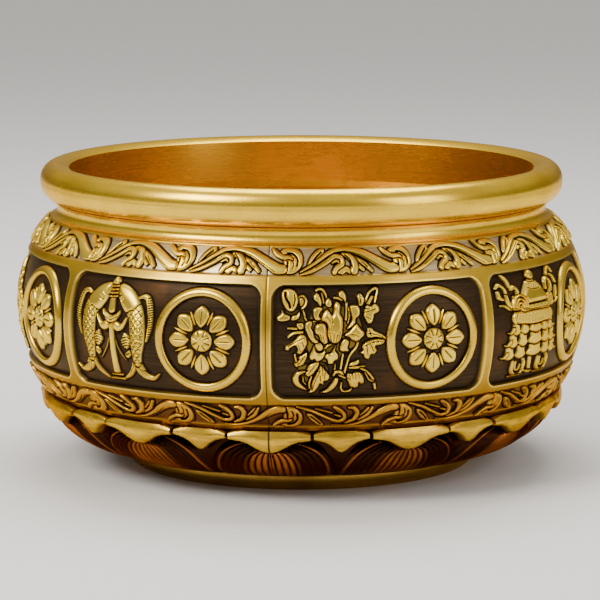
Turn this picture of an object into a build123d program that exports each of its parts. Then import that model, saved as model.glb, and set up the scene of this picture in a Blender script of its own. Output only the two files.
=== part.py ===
from build123d import *
import os
from math import cos, degrees, pi, radians, sin, sqrt

# A cast brass ritual bowl: a round belly of two half castings on a lotus base,
# a turned neck and a thick rolled rim, with applied relief ornaments.
# Millimetres, +Z up, origin at the centre of the foot's underside.
# Azimuth 0 is the front, along -Y, and azimuths grow towards +X.
# The two half castings of the belly and of the lotus meet on the plane x = 0.

# --- foot and base plate ---
foot_height = 6.5
plate_seat = 4.0            # ledge of the foot that the base plate rests on
foot_taper = 2.0            # the foot's underside is this much narrower than the lotus
foot_bulge = 2.4
plate_clearance = 0.15

# --- lotus base ---
lotus_height = 22.2
lotus_petals = 12           # wide petals, with as many narrow ones between
lotus_inner = 62.0          # bore of the flange under the bowl
lotus_flange = 4.0
lotus_foot_radius = 68.0
lotus_brow = 1.7            # upright edge above the curve of the lotus wall
lip_stand = 2.7             # how far the curled lips stand out
lip_drop = 8.4              # from the joint with the belly to the narrow lips' tips
wide_lip_angle = 17.7
lip_gap_angle = 0.5

# --- belly shell: bands and panels stacked from the lotus up ---
belly_radius = 110.0        # largest outer radius
belly_rise = 0.85           # largest radius above the middle of the panels
shoulder_arc = 46.0         # section radius above the largest radius
underside_arc = 58.0        # section radius below it
wall = 4.0                  # shell thickness
base_strip = 1.8
lower_band_height = 8.8
lower_strip = 2.2
panel_height = 41.3
upper_strip = 2.6
upper_band_height = 9.6
top_strip = 0.6
band_depth = 0.5
panel_count = 8
panel_depth = 1.8
panel_corner = 5.0
post_width = 3.6            # upright between two panels

# --- neck and rim ---
neck_thickness = 6.95       # from the shell mouth's outside to the bore
neck_waist = 2.2            # how far the cove is cut back at the waist
neck_height = 5.9           # from the joint to the shoulder under the rim
seat_lip = 0.9              # depth of the lip that locates the neck in the shell
seat_width = 3.0            # ledge of the shell that the neck stands on
seat_clearance = 0.1
sleeve_wall = 3.0
sleeve_height = 13.4        # from the joint to the top of the sleeve
rim_overhang = 4.05         # rim's widest point beyond the shell mouth
rim_gap = 0.3               # shadow groove between neck and rim
rim_height = 13.9           # from the underside of the rim to its crown

# --- ornaments ---
motif_shift = 19.2          # motif to the left, medallion to the right
motif_rise = 1.9            # height of the ornaments above the panel floor
ornament_margin = 0.5       # no ornament comes closer to the panel's edges
ring_half_width = 18.4
ring_margin = 1.65          # from the panel's upper and lower edges to the ring
ring_band = 3.4
rosette_radius = 12.6
rosette_rise = 1.4
scroll_rise = 1.5
scroll_units = 16
scroll_azimuth = 17.95      # middle of the first wave of both bands

shell_bottom = foot_height + lotus_height
lower_band_low = shell_bottom + base_strip
lower_band_high = lower_band_low + lower_band_height
panel_low = lower_band_high + lower_strip
panel_high = panel_low + panel_height
panel_middle = (panel_low + panel_high) / 2
belly_height = panel_middle + belly_rise
upper_band_low = panel_high + upper_strip
upper_band_high = upper_band_low + upper_band_height
shell_top = upper_band_high + top_strip
lip_low = shell_bottom - lip_drop
panel_pitch = 360 / panel_count
ring_half_height = panel_height / 2 - ring_margin
motif_room = 2 * motif_shift - ring_half_width     # from a motif's middle to the ring beside it
REACH = belly_radius + 20   # outside everything

# Sizes that the outlines of the ornaments are drawn for, before they are scaled.
DRAWN_PANEL = 41.3          # height of the panel
DRAWN_ROOM = 20.0           # room from a motif's middle to the ring
DRAWN_PITCH = 40.0          # length of one scroll wave
DRAWN_BAND = 9.6            # height of the scroll band
DRAWN_MIDDLE = 14.0         # middle of a wave along its length


def wall_radius(depth, height):
    """Radius of the shell at a height, a depth below its outer surface."""
    arc = shoulder_arc if height > belly_height else underside_arc
    return belly_radius - arc + sqrt((arc - depth) ** 2 - (height - belly_height) ** 2)


def wall_point(depth, height):
    return (wall_radius(depth, height), height)


def wall_arc(depth, low, high):
    return ThreePointArc(wall_point(depth, low), wall_point(depth, (low + high) / 2), wall_point(depth, high))


def wall_curve(depth, low, high):
    """Section edges of the shell surface from one height up to another."""
    if low < belly_height < high:
        return [wall_arc(depth, low, belly_height), wall_arc(depth, belly_height, high)]
    return [wall_arc(depth, low, high)]


def section(edges):
    """Face in the XZ plane from edges drawn as radius and height."""
    return Plane.XZ * make_face(edges)


def turned(edges, angle=360):
    return revolve(section(edges), axis=Axis.Z, revolution_arc=angle)


def skin(inner_depth, outer_depth, low, high, angle=360):
    """A layer of the shell between two depths, with flat top and bottom."""
    edges = wall_curve(inner_depth, low, high) + wall_curve(outer_depth, low, high)
    edges.append(Line(wall_point(inner_depth, low), wall_point(outer_depth, low)))
    edges.append(Line(wall_point(inner_depth, high), wall_point(outer_depth, high)))
    return turned(edges, angle)


mouth_outer = wall_radius(0, shell_top)
bore_radius = mouth_outer - neck_thickness
lotus_top_outer = wall_radius(0, shell_bottom)
lotus_top_inner = wall_radius(wall, shell_bottom)
lotus_bend = shell_bottom - lotus_brow  # height where the lotus wall turns inward
sleeve_radius = bore_radius + sleeve_wall
seat_radius = mouth_outer - seat_width
seat_height = shell_top - seat_lip


# --- turned parts ---
def make_rim_roll():
    """Thick rolled rim with a counterbore that drops over the neck's sleeve."""
    under = shell_top + neck_height + rim_gap
    crown = under + rim_height
    seat = shell_top + sleeve_height
    equator = (mouth_outer + rim_overhang, under + 0.52 * rim_height)
    bottom = (mouth_outer - 0.75, under)
    inside = (bore_radius, crown - 1.9)
    top = (bore_radius + 6.0, crown)
    edges = [
        ThreePointArc(bottom, (equator[0] - 1.3, under + 0.19 * rim_height), equator),
        ThreePointArc(equator, (equator[0] - 1.2, crown - 2.4), top),
        ThreePointArc(top, (bore_radius + 2.6, crown - 0.6), inside),
        Line(inside, (bore_radius, seat)),
        Line((bore_radius, seat), (sleeve_radius + seat_clearance, seat)),
        Line((sleeve_radius + seat_clearance, seat), (sleeve_radius + seat_clearance, under)),
        Line((sleeve_radius + seat_clearance, under), bottom),
    ]
    return turned(edges)


def make_neck_ring():
    """Neck with a coved outside, a sleeve for the rim and a lip for the shell."""
    shoulder = shell_top + neck_height
    bore_bottom = seat_height + 2.9
    lip_radius = seat_radius - seat_clearance
    flare = wall_radius(wall, seat_height)
    points = [
        (mouth_outer - 1.0, shoulder),
        (sleeve_radius, shoulder),
        (sleeve_radius, shell_top + sleeve_height),
        (bore_radius, shell_top + sleeve_height),
        (bore_radius, bore_bottom),
        (flare, seat_height),
        (lip_radius, seat_height),
        (lip_radius, shell_top),
        (mouth_outer, shell_top),
    ]
    edges = [Line(start, end) for start, end in zip(points, points[1:])]
    waist = (mouth_outer - neck_waist, shell_top + 0.42 * neck_height)
    edges.append(ThreePointArc(points[-1], waist, points[0]))
    return turned(edges)


def make_foot_ring():
    """Plain foot with a swelling outside."""
    bottom_radius = lotus_foot_radius - foot_taper
    inner = lotus_inner - plate_seat
    top = (lotus_foot_radius + 0.2, foot_height)
    bulge = (bottom_radius + foot_bulge, 0.6 * foot_height)
    edges = [
        Line((inner, 0), (bottom_radius, 0)),
        ThreePointArc((bottom_radius, 0), bulge, top),
        Line(top, (inner, foot_height)),
        Line((inner, foot_height), (inner, 0)),
    ]
    return turned(edges)


def make_base_plate():
    """Round plate that closes the bottom of the bowl and rests on the foot."""
    radius = lotus_inner - plate_clearance
    plate = Pos(0, 0, foot_height) * Cylinder(radius, lotus_flange, align=(Align.CENTER, Align.CENTER, Align.MIN))
    return chamfer(plate.edges().group_by(Axis.Z)[-1], 0.8)


# --- belly shell ---
def make_shell():
    edges = wall_curve(0, shell_bottom, shell_top) + wall_curve(wall, shell_bottom, seat_height)
    edges += [
        Line(wall_point(0, shell_bottom), wall_point(wall, shell_bottom)),
        Line(wall_point(wall, seat_height), (seat_radius, seat_height)),
        Line((seat_radius, seat_height), (seat_radius, shell_top)),
        Line((seat_radius, shell_top), wall_point(0, shell_top)),
    ]
    shell = turned(edges)
    shell -= skin(band_depth, -2, upper_band_low, upper_band_high)
    shell -= skin(band_depth, -2, lower_band_low, lower_band_high)
    pocket = make_pocket()
    for index in range(panel_count):
        shell -= Rot(0, 0, panel_azimuth(index)) * pocket
    return shell


def make_pocket():
    """Cutter for one sunk panel, centred at azimuth 0, with round corners."""
    post_angle = degrees(post_width / belly_radius)
    width = panel_pitch - post_angle
    cutter = Rot(0, 0, -90 - width / 2) * skin(panel_depth, -3, panel_low, panel_high, width)
    corners = [edge for edge in cutter.edges() if is_radial(edge)]
    return fillet(corners, panel_corner)


def is_radial(edge):
    """True for the straight edges of a cutter that point away from the axis."""
    return edge.geom_type == GeomType.LINE and abs(edge.tangent_at(0.5).Z) < 0.001


def panel_azimuth(index):
    return panel_pitch * (index + 0.5)


def halves(solid):
    """The two half castings, split on the plane x = 0: left and right."""
    left = split(solid, bisect_by=Plane.YZ, keep=Keep.BOTTOM)
    right = split(solid, bisect_by=Plane.YZ, keep=Keep.TOP)
    return left, right


# --- lotus base ---
def make_lotus_body():
    """Ring that carries the petals and closes in to a flange under the bowl."""
    top_outer = (lotus_top_outer, shell_bottom)
    outer = EllipticalCenterArc(
        (lotus_foot_radius, lotus_bend), lotus_top_outer - lotus_foot_radius, lotus_bend - foot_height, -90, arc_size=90
    )
    inner_height = lotus_bend - foot_height - lotus_flange
    inner = EllipticalCenterArc(
        (lotus_foot_radius, lotus_bend), lotus_top_inner - lotus_foot_radius, inner_height, -90, arc_size=90
    )
    flange_top = foot_height + lotus_flange
    edges = [
        outer,
        Line((lotus_top_outer, lotus_bend), top_outer),
        Line(top_outer, (lotus_top_inner, shell_bottom)),
        Line((lotus_top_inner, shell_bottom), (lotus_top_inner, lotus_bend)),
        inner,
        Line((lotus_foot_radius, flange_top), (lotus_inner, flange_top)),
        Line((lotus_inner, flange_top), (lotus_inner, foot_height)),
        Line((lotus_inner, foot_height), (lotus_foot_radius, foot_height)),
    ]
    return turned(edges)


def lip_outline(half_angle, tip):
    """Front view of one curled petal lip, hanging to a point at its tip."""
    radius = lotus_top_outer
    half = radius * sin(radians(half_angle - lip_gap_angle / 2))
    side = lip_low + 4.9
    edges = [
        Line((-half, shell_bottom), (half, shell_bottom)),
        Line((half, shell_bottom), (half, side)),
        ThreePointArc((half, side), (0.4 * half, side - 1.4), (0, tip)),
        ThreePointArc((0, tip), (-0.4 * half, side - 1.4), (-half, side)),
        Line((-half, side), (-half, shell_bottom)),
    ]
    return make_face(edges)


def make_lotus():
    body = make_lotus_body()
    stand = lotus_top_outer + lip_stand
    layer = turned([
        Line((lotus_top_outer - 3.5, lip_low - 1), (lotus_top_outer - 3.5, shell_bottom)),
        Line((lotus_top_outer - 3.5, shell_bottom), (stand - 0.9, shell_bottom)),
        ThreePointArc((stand - 0.9, shell_bottom), (stand, shell_bottom - 3), (stand - 1.6, lip_low - 1)),
        Line((stand - 1.6, lip_low - 1), (lotus_top_outer - 3.5, lip_low - 1)),
    ])
    pitch = 360 / lotus_petals
    narrow_half = (pitch - wide_lip_angle) / 2
    wide = extrude(Plane.XZ * lip_outline(wide_lip_angle / 2, lip_low + 0.6), REACH) & layer
    narrow = extrude(Plane.XZ * lip_outline(narrow_half, lip_low), REACH) & layer
    for index in range(lotus_petals):
        body += Rot(0, 0, pitch * index) * wide
        body += Rot(0, 0, pitch * (index + 0.5)) * narrow
    return body


# --- relief ornaments ---
def blob(*points):
    """Closed smooth outline through a few points."""
    return make_face(Spline(*points, periodic=True))


def strip(*stations):
    """Band of changing width along a smooth line; each station is u, h, width."""
    left, right = [], []
    for index, (u, h, width) in enumerate(stations):
        before = stations[max(index - 1, 0)]
        after = stations[min(index + 1, len(stations) - 1)]
        along = Vector(after[0] - before[0], after[1] - before[1]).normalized()
        side = Vector(-along.Y, along.X) * (width / 2)
        left.append(Vector(u, h) + side)
        right.append(Vector(u, h) - side)
    right.reverse()
    return make_face([Spline(*left), Line(left[-1], right[0]), Spline(*right), Line(right[-1], left[0])])


def joined(faces):
    outline = faces[0]
    for face in faces[1:]:
        outline += face
    return outline


def mirrored(faces):
    """The faces and their mirror images left of the centre line."""
    return faces + [mirror(face, about=Plane.YZ) for face in faces]


def relief(outline, layer, middle):
    """Ornament of an outline laid on the shell at azimuth 0."""
    block = extrude(Plane.XZ * (Pos(0, middle) * outline), REACH)
    return block & layer


def placed(solid, azimuth):
    return list((Rot(0, 0, azimuth) * solid).solids())


def ornament_layer():
    top = panel_high - ornament_margin
    return skin(panel_depth, panel_depth - motif_rise, panel_low + ornament_margin, top)


def fish_pair_outline():
    """Two upright fish either side of a staff, heads inwards."""
    body = blob(
        (2.4, 17.4), (7, 16.2), (11, 13.2), (13.8, 8.5), (14.9, 3), (14.2, -3), (12.6, -9),
        (10.6, -12), (9.2, -9), (9.4, -4), (9.2, 1), (7.8, 5.5), (5, 8.6), (2.8, 11.5), (2.2, 14.5),
    )
    outer_tail = strip((11.2, -9.5, 3.2), (12.5, -13, 3.6), (16, -14.8, 2.4), (19.6, -13.6, 1.0))
    inner_tail = strip((10, -9.5, 1.8), (8.6, -13.4, 1.8), (6, -15.6, 1.6), (3.4, -16.6, 0.8))
    fin = strip((11.8, 13.6, 1.6), (14.6, 13.2, 2.2), (16.6, 8.5, 2.0), (16.9, 3, 1.6), (14.9, -3, 1.4))
    bow = strip((0, 5.4, 3.2), (3, 2.6, 3.0), (6, 4.6, 2.0), (8.4, 6.6, 1.4))
    small_fin = blob((6.2, -2), (9.6, -1.4), (9.8, -5.4), (6.6, -6.4), (4.6, -4.4))
    ribbon = strip((0.4, -1.5, 0.9), (2.6, -6, 0.8), (5.6, -9.6, 0.8), (9.4, -9.8, 0.8))
    staff = [
        strip((0, 19.6, 1.6), (0, 17, 3.4), (0, 13, 3.2), (0, 7, 2.4)),
        strip((0, 8, 2.0), (0, -4, 2.0), (0, -16, 2.8)),
        blob((-3.8, 8.6), (0, 6.6), (3.8, 8.6), (2.6, 5), (0, 4), (-2.6, 5)),
        Pos(0, -16.2) * Rectangle(6.4, 1.6),
    ]
    return joined(staff + mirrored([body, outer_tail, inner_tail, fin, bow, small_fin, ribbon]))


def peony_outline():
    """Open bloom with buds, lobed leaves and a tied stem."""
    bloom = [
        blob((-4, 10), (-1.6, 12.6), (0.4, 10), (1.8, 14.6), (3.6, 9), (3.2, 3.6), (0, 0.6), (-2.2, 4)),
        blob((-6.4, 6.6), (-4, 7.8), (-2, 5), (-3, 0.2), (-5.6, 2.6)),
        blob((-10, 7), (-6.4, 8), (-5, 2), (-3, -0.6), (-8.4, 1.6)),
        blob((-6.8, 10.4), (-5.8, 12.9), (-2.6, 11), (-5.4, 8)),
        blob((5.6, 13), (9.8, 11.8), (9, 7.6), (5, 4.6), (3, 6), (4.4, 9)),
        blob((3, 3.2), (8.8, 7), (11, 3), (8, -0.4), (4.4, 1)),
        blob((2, 1.6), (5.8, 1.6), (5.6, -1.8), (2.6, -2.2)),
        blob((-1, 1), (1.8, -2.4), (1.4, -6), (-1, -6.8), (-2.6, -3)),
        blob((-8, -0.6), (-5.4, -0.4), (-2, 0.6), (-3.2, -4.6), (-6.8, -5.8), (-8.4, -3)),
    ]
    buds = [
        blob((-17.8, 16), (-14.8, 19.8), (-12, 16), (-14.8, 11.8)),
        strip((-12.6, 12.6, 1.2), (-10.4, 10.6, 1.2), (-8, 6, 1.8)),
        blob((-12.4, 13.4), (-11.4, 16.4), (-9, 16), (-9.8, 12.8)),
        blob((-19.4, 8.6), (-18, 12), (-14.8, 11), (-11.2, 11.8), (-13, 8.6)),
        blob((-6.8, 16), (-5.2, 19.4), (-2.6, 17), (-4.2, 12.4)),
        blob((-3, 14), (-1.4, 15.9), (0.2, 14), (-1.6, 10)),
        strip((2.4, 16.4, 2.8), (4.2, 14.8, 2.8), (4.8, 11, 1.2), (4.6, 7, 1.4)),
    ]
    leaves = [
        blob((11, 14), (13, 18.4), (16.4, 19), (15.4, 14.4), (11.8, 12)),
        blob((10.4, 9), (12, 13.6), (16.6, 12.6), (14.4, 8.4), (12, 7)),
        blob((8.8, 15.4), (9.8, 17.6), (11.6, 14.6), (10.4, 9.6)),
        blob((8.6, 1), (13, 5.6), (18.9, 0.8), (15.4, -1), (12.6, -5.2), (8.6, -2)),
        blob((3.4, -9.4), (8, -6), (12, -9), (15.6, -16.6), (12, -13), (6.6, -15.4)),
        blob((-6.8, 3), (-11.6, 4), (-17, -1.4), (-13, -0.8), (-13.4, -7.2), (-8, -2)),
        blob((-3, -5), (-9.8, -8.6), (-9, -16.4), (-6, -17.4), (-1, -11.6)),
        blob((-7.4, -15.8), (-12, -14), (-14.2, -10.6), (-11.6, -8.8), (-9.4, -11)),
        blob((-9.4, 4), (-14.4, 5), (-12.6, 7.6), (-9.4, 7)),
    ]
    stems = [
        strip((7.6, 0.6, 1.8), (5.6, -4.4, 1.2), (3.6, -9.4, 1.4), (2.4, -12, 2.4)),
        strip((3.2, -12, 2.0), (0.6, -14.6, 1.8), (-3.4, -17, 1.0)),
        strip((3, -11, 2.0), (4.2, -15.6, 1.4), (6.8, -16.8, 1.2)),
        strip((-1.4, -7.6, 1.6), (0.4, -10, 1.8), (3, -10.6, 2.4)),
        strip((-2, -6.4, 2.0), (-0.4, -6.6, 2.0), (4.8, -7.4, 1.6)),
    ]
    return joined(bloom + buds + leaves + stems)


def banner_outline():
    """Canopy on a finial, with three rows of lappets and hanging ribbons."""
    finial = blob((-2, 17), (-1.4, 19.4), (0.6, 20.2), (2.2, 18.4), (2, 16.6), (0, 16))
    bell = blob((-5.4, 15), (0, 17.2), (5.4, 15), (8.4, 8.8), (0, 7), (-8.4, 8.8))
    skirt = make_face(Polyline((-9, 8), (9, 8), (11, 1.4), (-11, 1.4), close=True))
    rows = []
    for row in range(3):
        high = 2 - 4.3 * row
        half = 11 + 1.6 * row
        drop = (0.3 * half, high - 4.9)
        rows.append(make_face(Polyline(
            (-half, high), (half, high), (half + 1.6, high - 4), drop, (-drop[0], drop[1]), (-half - 1.6, high - 4),
            close=True,
        )))
    flame = strip((7, 8.4, 3.6), (11.4, 9.2, 3.0), (14.6, 12.4, 3.6), (15, 16.4, 3.4), (12.6, 19, 1.6))
    wing = strip((14, 12, 2.4), (17, 12.6, 2.6), (19, 15.6, 1.4))
    keel = strip((8, 7.6, 2.2), (14, 8.2, 1.6), (18.6, 10.2, 0.9))
    loop = strip((5, -9.6, 2.2), (3.4, -13.4, 2.0), (6.4, -16.2, 2.0), (9.6, -13.8, 2.0), (8.4, -9.6, 2.2))
    tail = strip((0, -10, 3.0), (-0.4, -14, 2.2), (0.6, -16.8, 3.4))
    return joined([finial, bell, skirt] + rows + [tail] + mirrored([flame, wing, keel, loop]))


def knot_outline():
    """Endless knot of three by three crossing cords with looped corners."""
    step = 4.4
    cord = 2.2
    reach = 3.2 * step
    bars = []
    for index in (-1, 0, 1):
        bars.append(Rot(0, 0, 45) * Pos(0, step * 1.5 * index) * Rectangle(1.9 * reach - step * abs(index), cord))
        bars.append(Rot(0, 0, -45) * Pos(0, step * 1.5 * index) * Rectangle(1.9 * reach - step * abs(index), cord))
    eye = Circle(3.6) - Circle(1.6)
    ends = [Pos(reach * 0.98 * cos(t), reach * 0.98 * sin(t)) * eye for t in (0, pi / 2, pi, 3 * pi / 2)]
    corner = 2.2 * step
    corners = [Pos(corner * cos(t), corner * sin(t)) * eye for t in (pi / 4, 3 * pi / 4, 5 * pi / 4, 7 * pi / 4)]
    return joined(bars + ends + corners)


def ring_outline():
    outside = Ellipse(ring_half_width, ring_half_height)
    return outside - Ellipse(ring_half_width - ring_band, ring_half_height - ring_band)


def rosette_outline():
    """Eight-petalled flower that fills the inside of a medallion ring."""
    petal_length = 0.72 * rosette_radius
    petal = Pos(rosette_radius - petal_length / 2, 0) * Ellipse(petal_length / 2, 0.3 * rosette_radius)
    return joined([Circle(0.38 * rosette_radius)] + [Rot(0, 0, 45 * turn) * petal for turn in range(8)])


def upper_scroll_outline():
    """One wave of the running scroll: stem, curled head, leaf fan and bud."""
    stem = strip(
        (-6.3, -3.2, 0.8), (-1.6, -0.6, 1.4), (4.6, 3.3, 1.7), (10, 4.1, 2.0), (15.6, 3.1, 2.8), (21, 0.4, 3.4),
        (25.8, -2.2, 3.8), (30.2, -2.8, 3.6), (33.2, -1, 2.8), (33.8, 1.6, 2.6), (31.6, 3.4, 2.6), (28.6, 3.2, 2.3),
        (26.2, 2, 1.9), (24.6, 3.9, 1.2),
    )
    curl = strip((27, 0.7, 1.0), (30, 0.5, 1.6), (30.8, -1.2, 1.8), (29.4, -2.6, 1.6))
    sprig = strip(
        (-6.0, -4.0, 0.8), (-2, -2.5, 1.3), (3, 0.2, 1.5), (6.4, 1.9, 1.5), (8.6, 0.9, 1.6), (7.6, -1.2, 1.7),
        (5.6, -3.3, 1.7),
    )
    lobe = strip((9.4, 2.8, 1.4), (12, 0.8, 2.4), (12.8, -2.2, 3.2))
    low_lobe = blob((6, -3.6), (8.4, -1.6), (11.4, -2), (11.6, -3.8), (8.8, -3.4))
    leaf = strip((13.2, 1.7, 1.2), (16.4, -0.6, 1.9), (18.7, -3, 1.3))
    bud = strip((-5, -1.6, 0.9), (-2.6, 0.8, 2.4), (0.4, 3.2, 2.2), (2.2, 4.2, 0.9))
    return joined([stem, curl, sprig, lobe, low_lobe, leaf, bud])


def lower_scroll_outline():
    """The lower wave: the same idea turned upside down and a little slimmer."""
    stem = strip(
        (5.2, -3.4, 0.9), (9.4, -3.9, 1.2), (14, -3.1, 1.5), (18.4, -1.3, 2.1), (22.4, 1.4, 2.9), (27, 2.9, 3.0),
        (30.6, 2.8, 2.6), (33, 0.9, 2.5), (33.2, -1.6, 2.4), (31, -3.3, 2.2), (28.2, -2.7, 1.9), (26, -3, 1.7),
        (24.7, -4.3, 1.2),
    )
    curl = strip((24.8, 2.2, 2.2), (27.2, 1.6, 1.8), (27.6, 0.2, 1.4))
    inner = strip((28.8, -1.2, 1.0), (31.2, -0.8, 1.4), (32.2, 0.8, 1.6))
    sprig = strip(
        (-7.4, 3.9, 0.9), (-2.2, 2.4, 1.4), (2.6, -0.2, 1.5), (6.4, -2.1, 1.5), (9, -1.3, 1.5), (9, 0.7, 1.5),
        (6.4, 3.0, 1.7),
    )
    lobe = strip((9.8, -2.7, 1.2), (12.8, -1.1, 1.9), (13.6, 1.3, 1.9), (12.2, 3.1, 1.7))
    leaf = strip((14.4, -1.7, 1.0), (17.6, 0.4, 1.6), (18.9, 3, 1.1))
    bud = strip((-3.8, 0.8, 1.0), (-0.6, -1.5, 2.4), (1.9, -3.6, 1.2))
    return joined([stem, curl, inner, sprig, lobe, leaf, bud])


def scroll_band(outline, low, high):
    """A whole band of scroll waves; one that crosses the seam is cut there."""
    middle = (low + high) / 2
    layer = skin(band_depth, band_depth - scroll_rise, low, high)
    pitch_length = 2 * pi * wall_radius(0, middle) / scroll_units
    stretch = (pitch_length / DRAWN_PITCH, (high - low) / DRAWN_BAND, 1)
    unit = relief(scale(Pos(-DRAWN_MIDDLE, 0) * outline, by=stretch), layer, middle)
    pieces = []
    for index in range(scroll_units):
        for solid in placed(unit, scroll_azimuth + 360 / scroll_units * index):
            box = solid.bounding_box()
            if box.min.X < 0 < box.max.X:
                pieces += [part for half in halves(solid) for part in half.solids()]
            else:
                pieces.append(solid)
    return pieces


# --- assembly ---
def build():
    nodes = {}
    nodes["rim_roll"] = [make_rim_roll()]
    nodes["neck_ring"] = [make_neck_ring()]
    nodes["foot_ring"] = [make_foot_ring()]
    nodes["base_plate"] = [make_base_plate()]
    shell_left, shell_right = halves(make_shell())
    nodes["shell_left"] = [shell_left]
    nodes["shell_right"] = [shell_right]
    lotus_left, lotus_right = halves(make_lotus())
    nodes["lotus_left"] = [lotus_left]
    nodes["lotus_right"] = [lotus_right]
    nodes["upper_scroll"] = scroll_band(upper_scroll_outline(), upper_band_low, upper_band_high)
    nodes["lower_scroll"] = scroll_band(lower_scroll_outline(), lower_band_low, lower_band_high)
    layer = ornament_layer()
    motif_scale = min(panel_height / DRAWN_PANEL, motif_room / DRAWN_ROOM)
    ring = relief(ring_outline(), layer, panel_middle)
    thin_layer = skin(panel_depth, panel_depth - rosette_rise, panel_low, panel_high)
    rosette = relief(rosette_outline(), thin_layer, panel_middle)
    motifs = {
        "peony": relief(scale(peony_outline(), by=motif_scale), layer, panel_middle),
        "banner": relief(scale(banner_outline(), by=motif_scale), layer, panel_middle),
        "knot": relief(scale(knot_outline(), by=motif_scale), layer, panel_middle),
        "fish_pair": relief(scale(fish_pair_outline(), by=motif_scale), layer, panel_middle),
    }
    shift = degrees(motif_shift / belly_radius)
    for index in range(panel_count):
        name = list(motifs)[index % len(motifs)]
        copy = index // len(motifs) + 1
        azimuth = panel_azimuth(index)
        nodes[f"{name}_{copy}"] = placed(motifs[name], azimuth - shift)
        nodes[f"medallion_ring_{index + 1}"] = placed(ring, azimuth + shift)
        nodes[f"rosette_{index + 1}"] = placed(rosette, azimuth + shift)
    return nodes


def main():
    os.makedirs("parts", exist_ok=True)
    for name, pieces in build().items():
        solids = [solid for piece in pieces for solid in piece.solids()]
        export_step(Compound(solids), f"parts/{name}.step")


main()
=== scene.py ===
import math

import bpy
import numpy as np
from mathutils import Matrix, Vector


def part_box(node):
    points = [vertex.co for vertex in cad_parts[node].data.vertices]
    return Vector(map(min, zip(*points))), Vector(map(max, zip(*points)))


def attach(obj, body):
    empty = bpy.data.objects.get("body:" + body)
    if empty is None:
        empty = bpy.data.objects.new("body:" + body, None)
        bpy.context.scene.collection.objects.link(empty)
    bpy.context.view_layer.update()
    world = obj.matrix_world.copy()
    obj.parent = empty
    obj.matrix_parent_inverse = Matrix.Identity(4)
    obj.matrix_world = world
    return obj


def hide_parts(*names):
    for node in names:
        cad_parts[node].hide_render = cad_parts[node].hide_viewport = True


# A cast brass ritual bowl. Everything is set out in millimetres and degrees: +Z up, the
# front (the post with the seam) towards -Y, azimuths growing towards +X.

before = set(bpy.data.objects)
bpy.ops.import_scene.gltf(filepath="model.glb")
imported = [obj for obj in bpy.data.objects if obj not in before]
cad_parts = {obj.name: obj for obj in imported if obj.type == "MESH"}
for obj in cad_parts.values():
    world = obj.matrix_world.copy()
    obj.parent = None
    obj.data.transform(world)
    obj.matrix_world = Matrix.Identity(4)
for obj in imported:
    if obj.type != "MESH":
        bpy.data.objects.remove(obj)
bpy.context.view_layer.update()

MM = 0.001

# Sizes taken from the CAD pieces.
SHELL_LOW, SHELL_HIGH = (corner[2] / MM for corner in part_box("shell_right"))
BELLY_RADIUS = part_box("shell_right")[1][0] / MM
FOOT_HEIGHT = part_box("foot_ring")[1][2] / MM
RIM_LOW, RIM_CROWN = (corner[2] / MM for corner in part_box("rim_roll"))
RIM_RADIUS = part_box("rim_roll")[1][0] / MM
PLATE_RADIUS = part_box("base_plate")[1][0] / MM

# Section and layout of the belly, as the CAD shell has them.
BELLY_HEIGHT = 63.0
SHOULDER_ARC = 46.0
UNDERSIDE_ARC = 58.0
WALL = 4.0
LOWER_BAND = (30.5, 39.3)
PANEL = (41.5, 82.8)
UPPER_BAND = (85.4, 95.0)
PANEL_MIDDLE = sum(PANEL) / 2
PANEL_DEPTH = 1.8
PANEL_CORNER = 5.0
POST_HALF = 1.8
BAND_DEPTH = 0.5
SEAM_WIDTH = 0.26
PANEL_PITCH = 45.0
MOTIF_SHIFT = 10.0          # degrees either side of a panel's middle
SEAT_HEIGHT = SHELL_HIGH - 0.9
PANELS = 8
WAVES = 16                  # waves of each scroll
SCROLL_START = 10.0         # azimuth where the first wave is set out
SCROLL_PITCH = 360 / WAVES
DRAWN_PITCH = 39.7          # length of one wave as drawn

# Turned pieces.
RIM_BORE = RIM_RADIUS - 11.0
RIM_SEAT = 7.2              # from the rim's underside up to its counterbore
SLEEVE = 3.0                # thickness of the neck's sleeve inside the rim
SLEEVE_TOP = SHELL_HIGH + 13.4
SHOULDER = RIM_LOW - 0.3    # top of the neck's cove, with a dark gap under the rim
FOOT_OUTER = 66.0
FOOT_INNER = 58.0
FOOT_TOP = 68.2
PLATE = 4.0                 # thickness of the base plate
RING_OUTER = (18.4, 19.0)   # half width and half height of a round moulding
RING_HALF = 1.7             # half the width of its half-round section

# Relief.
ROOT = 0.35                 # height at which a relief's rounded edge starts
GROOVE = 0.42               # width of the groove cut round a shape in front
FILLET = 0.55               # width of the dark fillet round a whole relief
CURVE_STEPS = 6             # straight runs between two points of an outline
WINDOW_MARGIN = 1.6         # how far a shape reaches beyond its own points
MOTIF_CELL = 0.2            # mesh spacing of the emblems
WAVE_CELL = 0.17            # mesh spacing of the scroll waves


# ---------------------------------------------------------------- curves
def smoothstep(low, high, value):
    t = np.clip((value - low) / (high - low), 0.0, 1.0)
    return t * t * (3.0 - 2.0 * t)


def wall_radius(depth, height):
    """Radius of the belly at a height, a depth below its outer surface."""
    arc = np.where(height > BELLY_HEIGHT, SHOULDER_ARC, UNDERSIDE_ARC)
    rise = np.square(arc - depth) - np.square(height - BELLY_HEIGHT)
    return BELLY_RADIUS - arc + np.sqrt(np.maximum(rise, 0.0))


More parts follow.
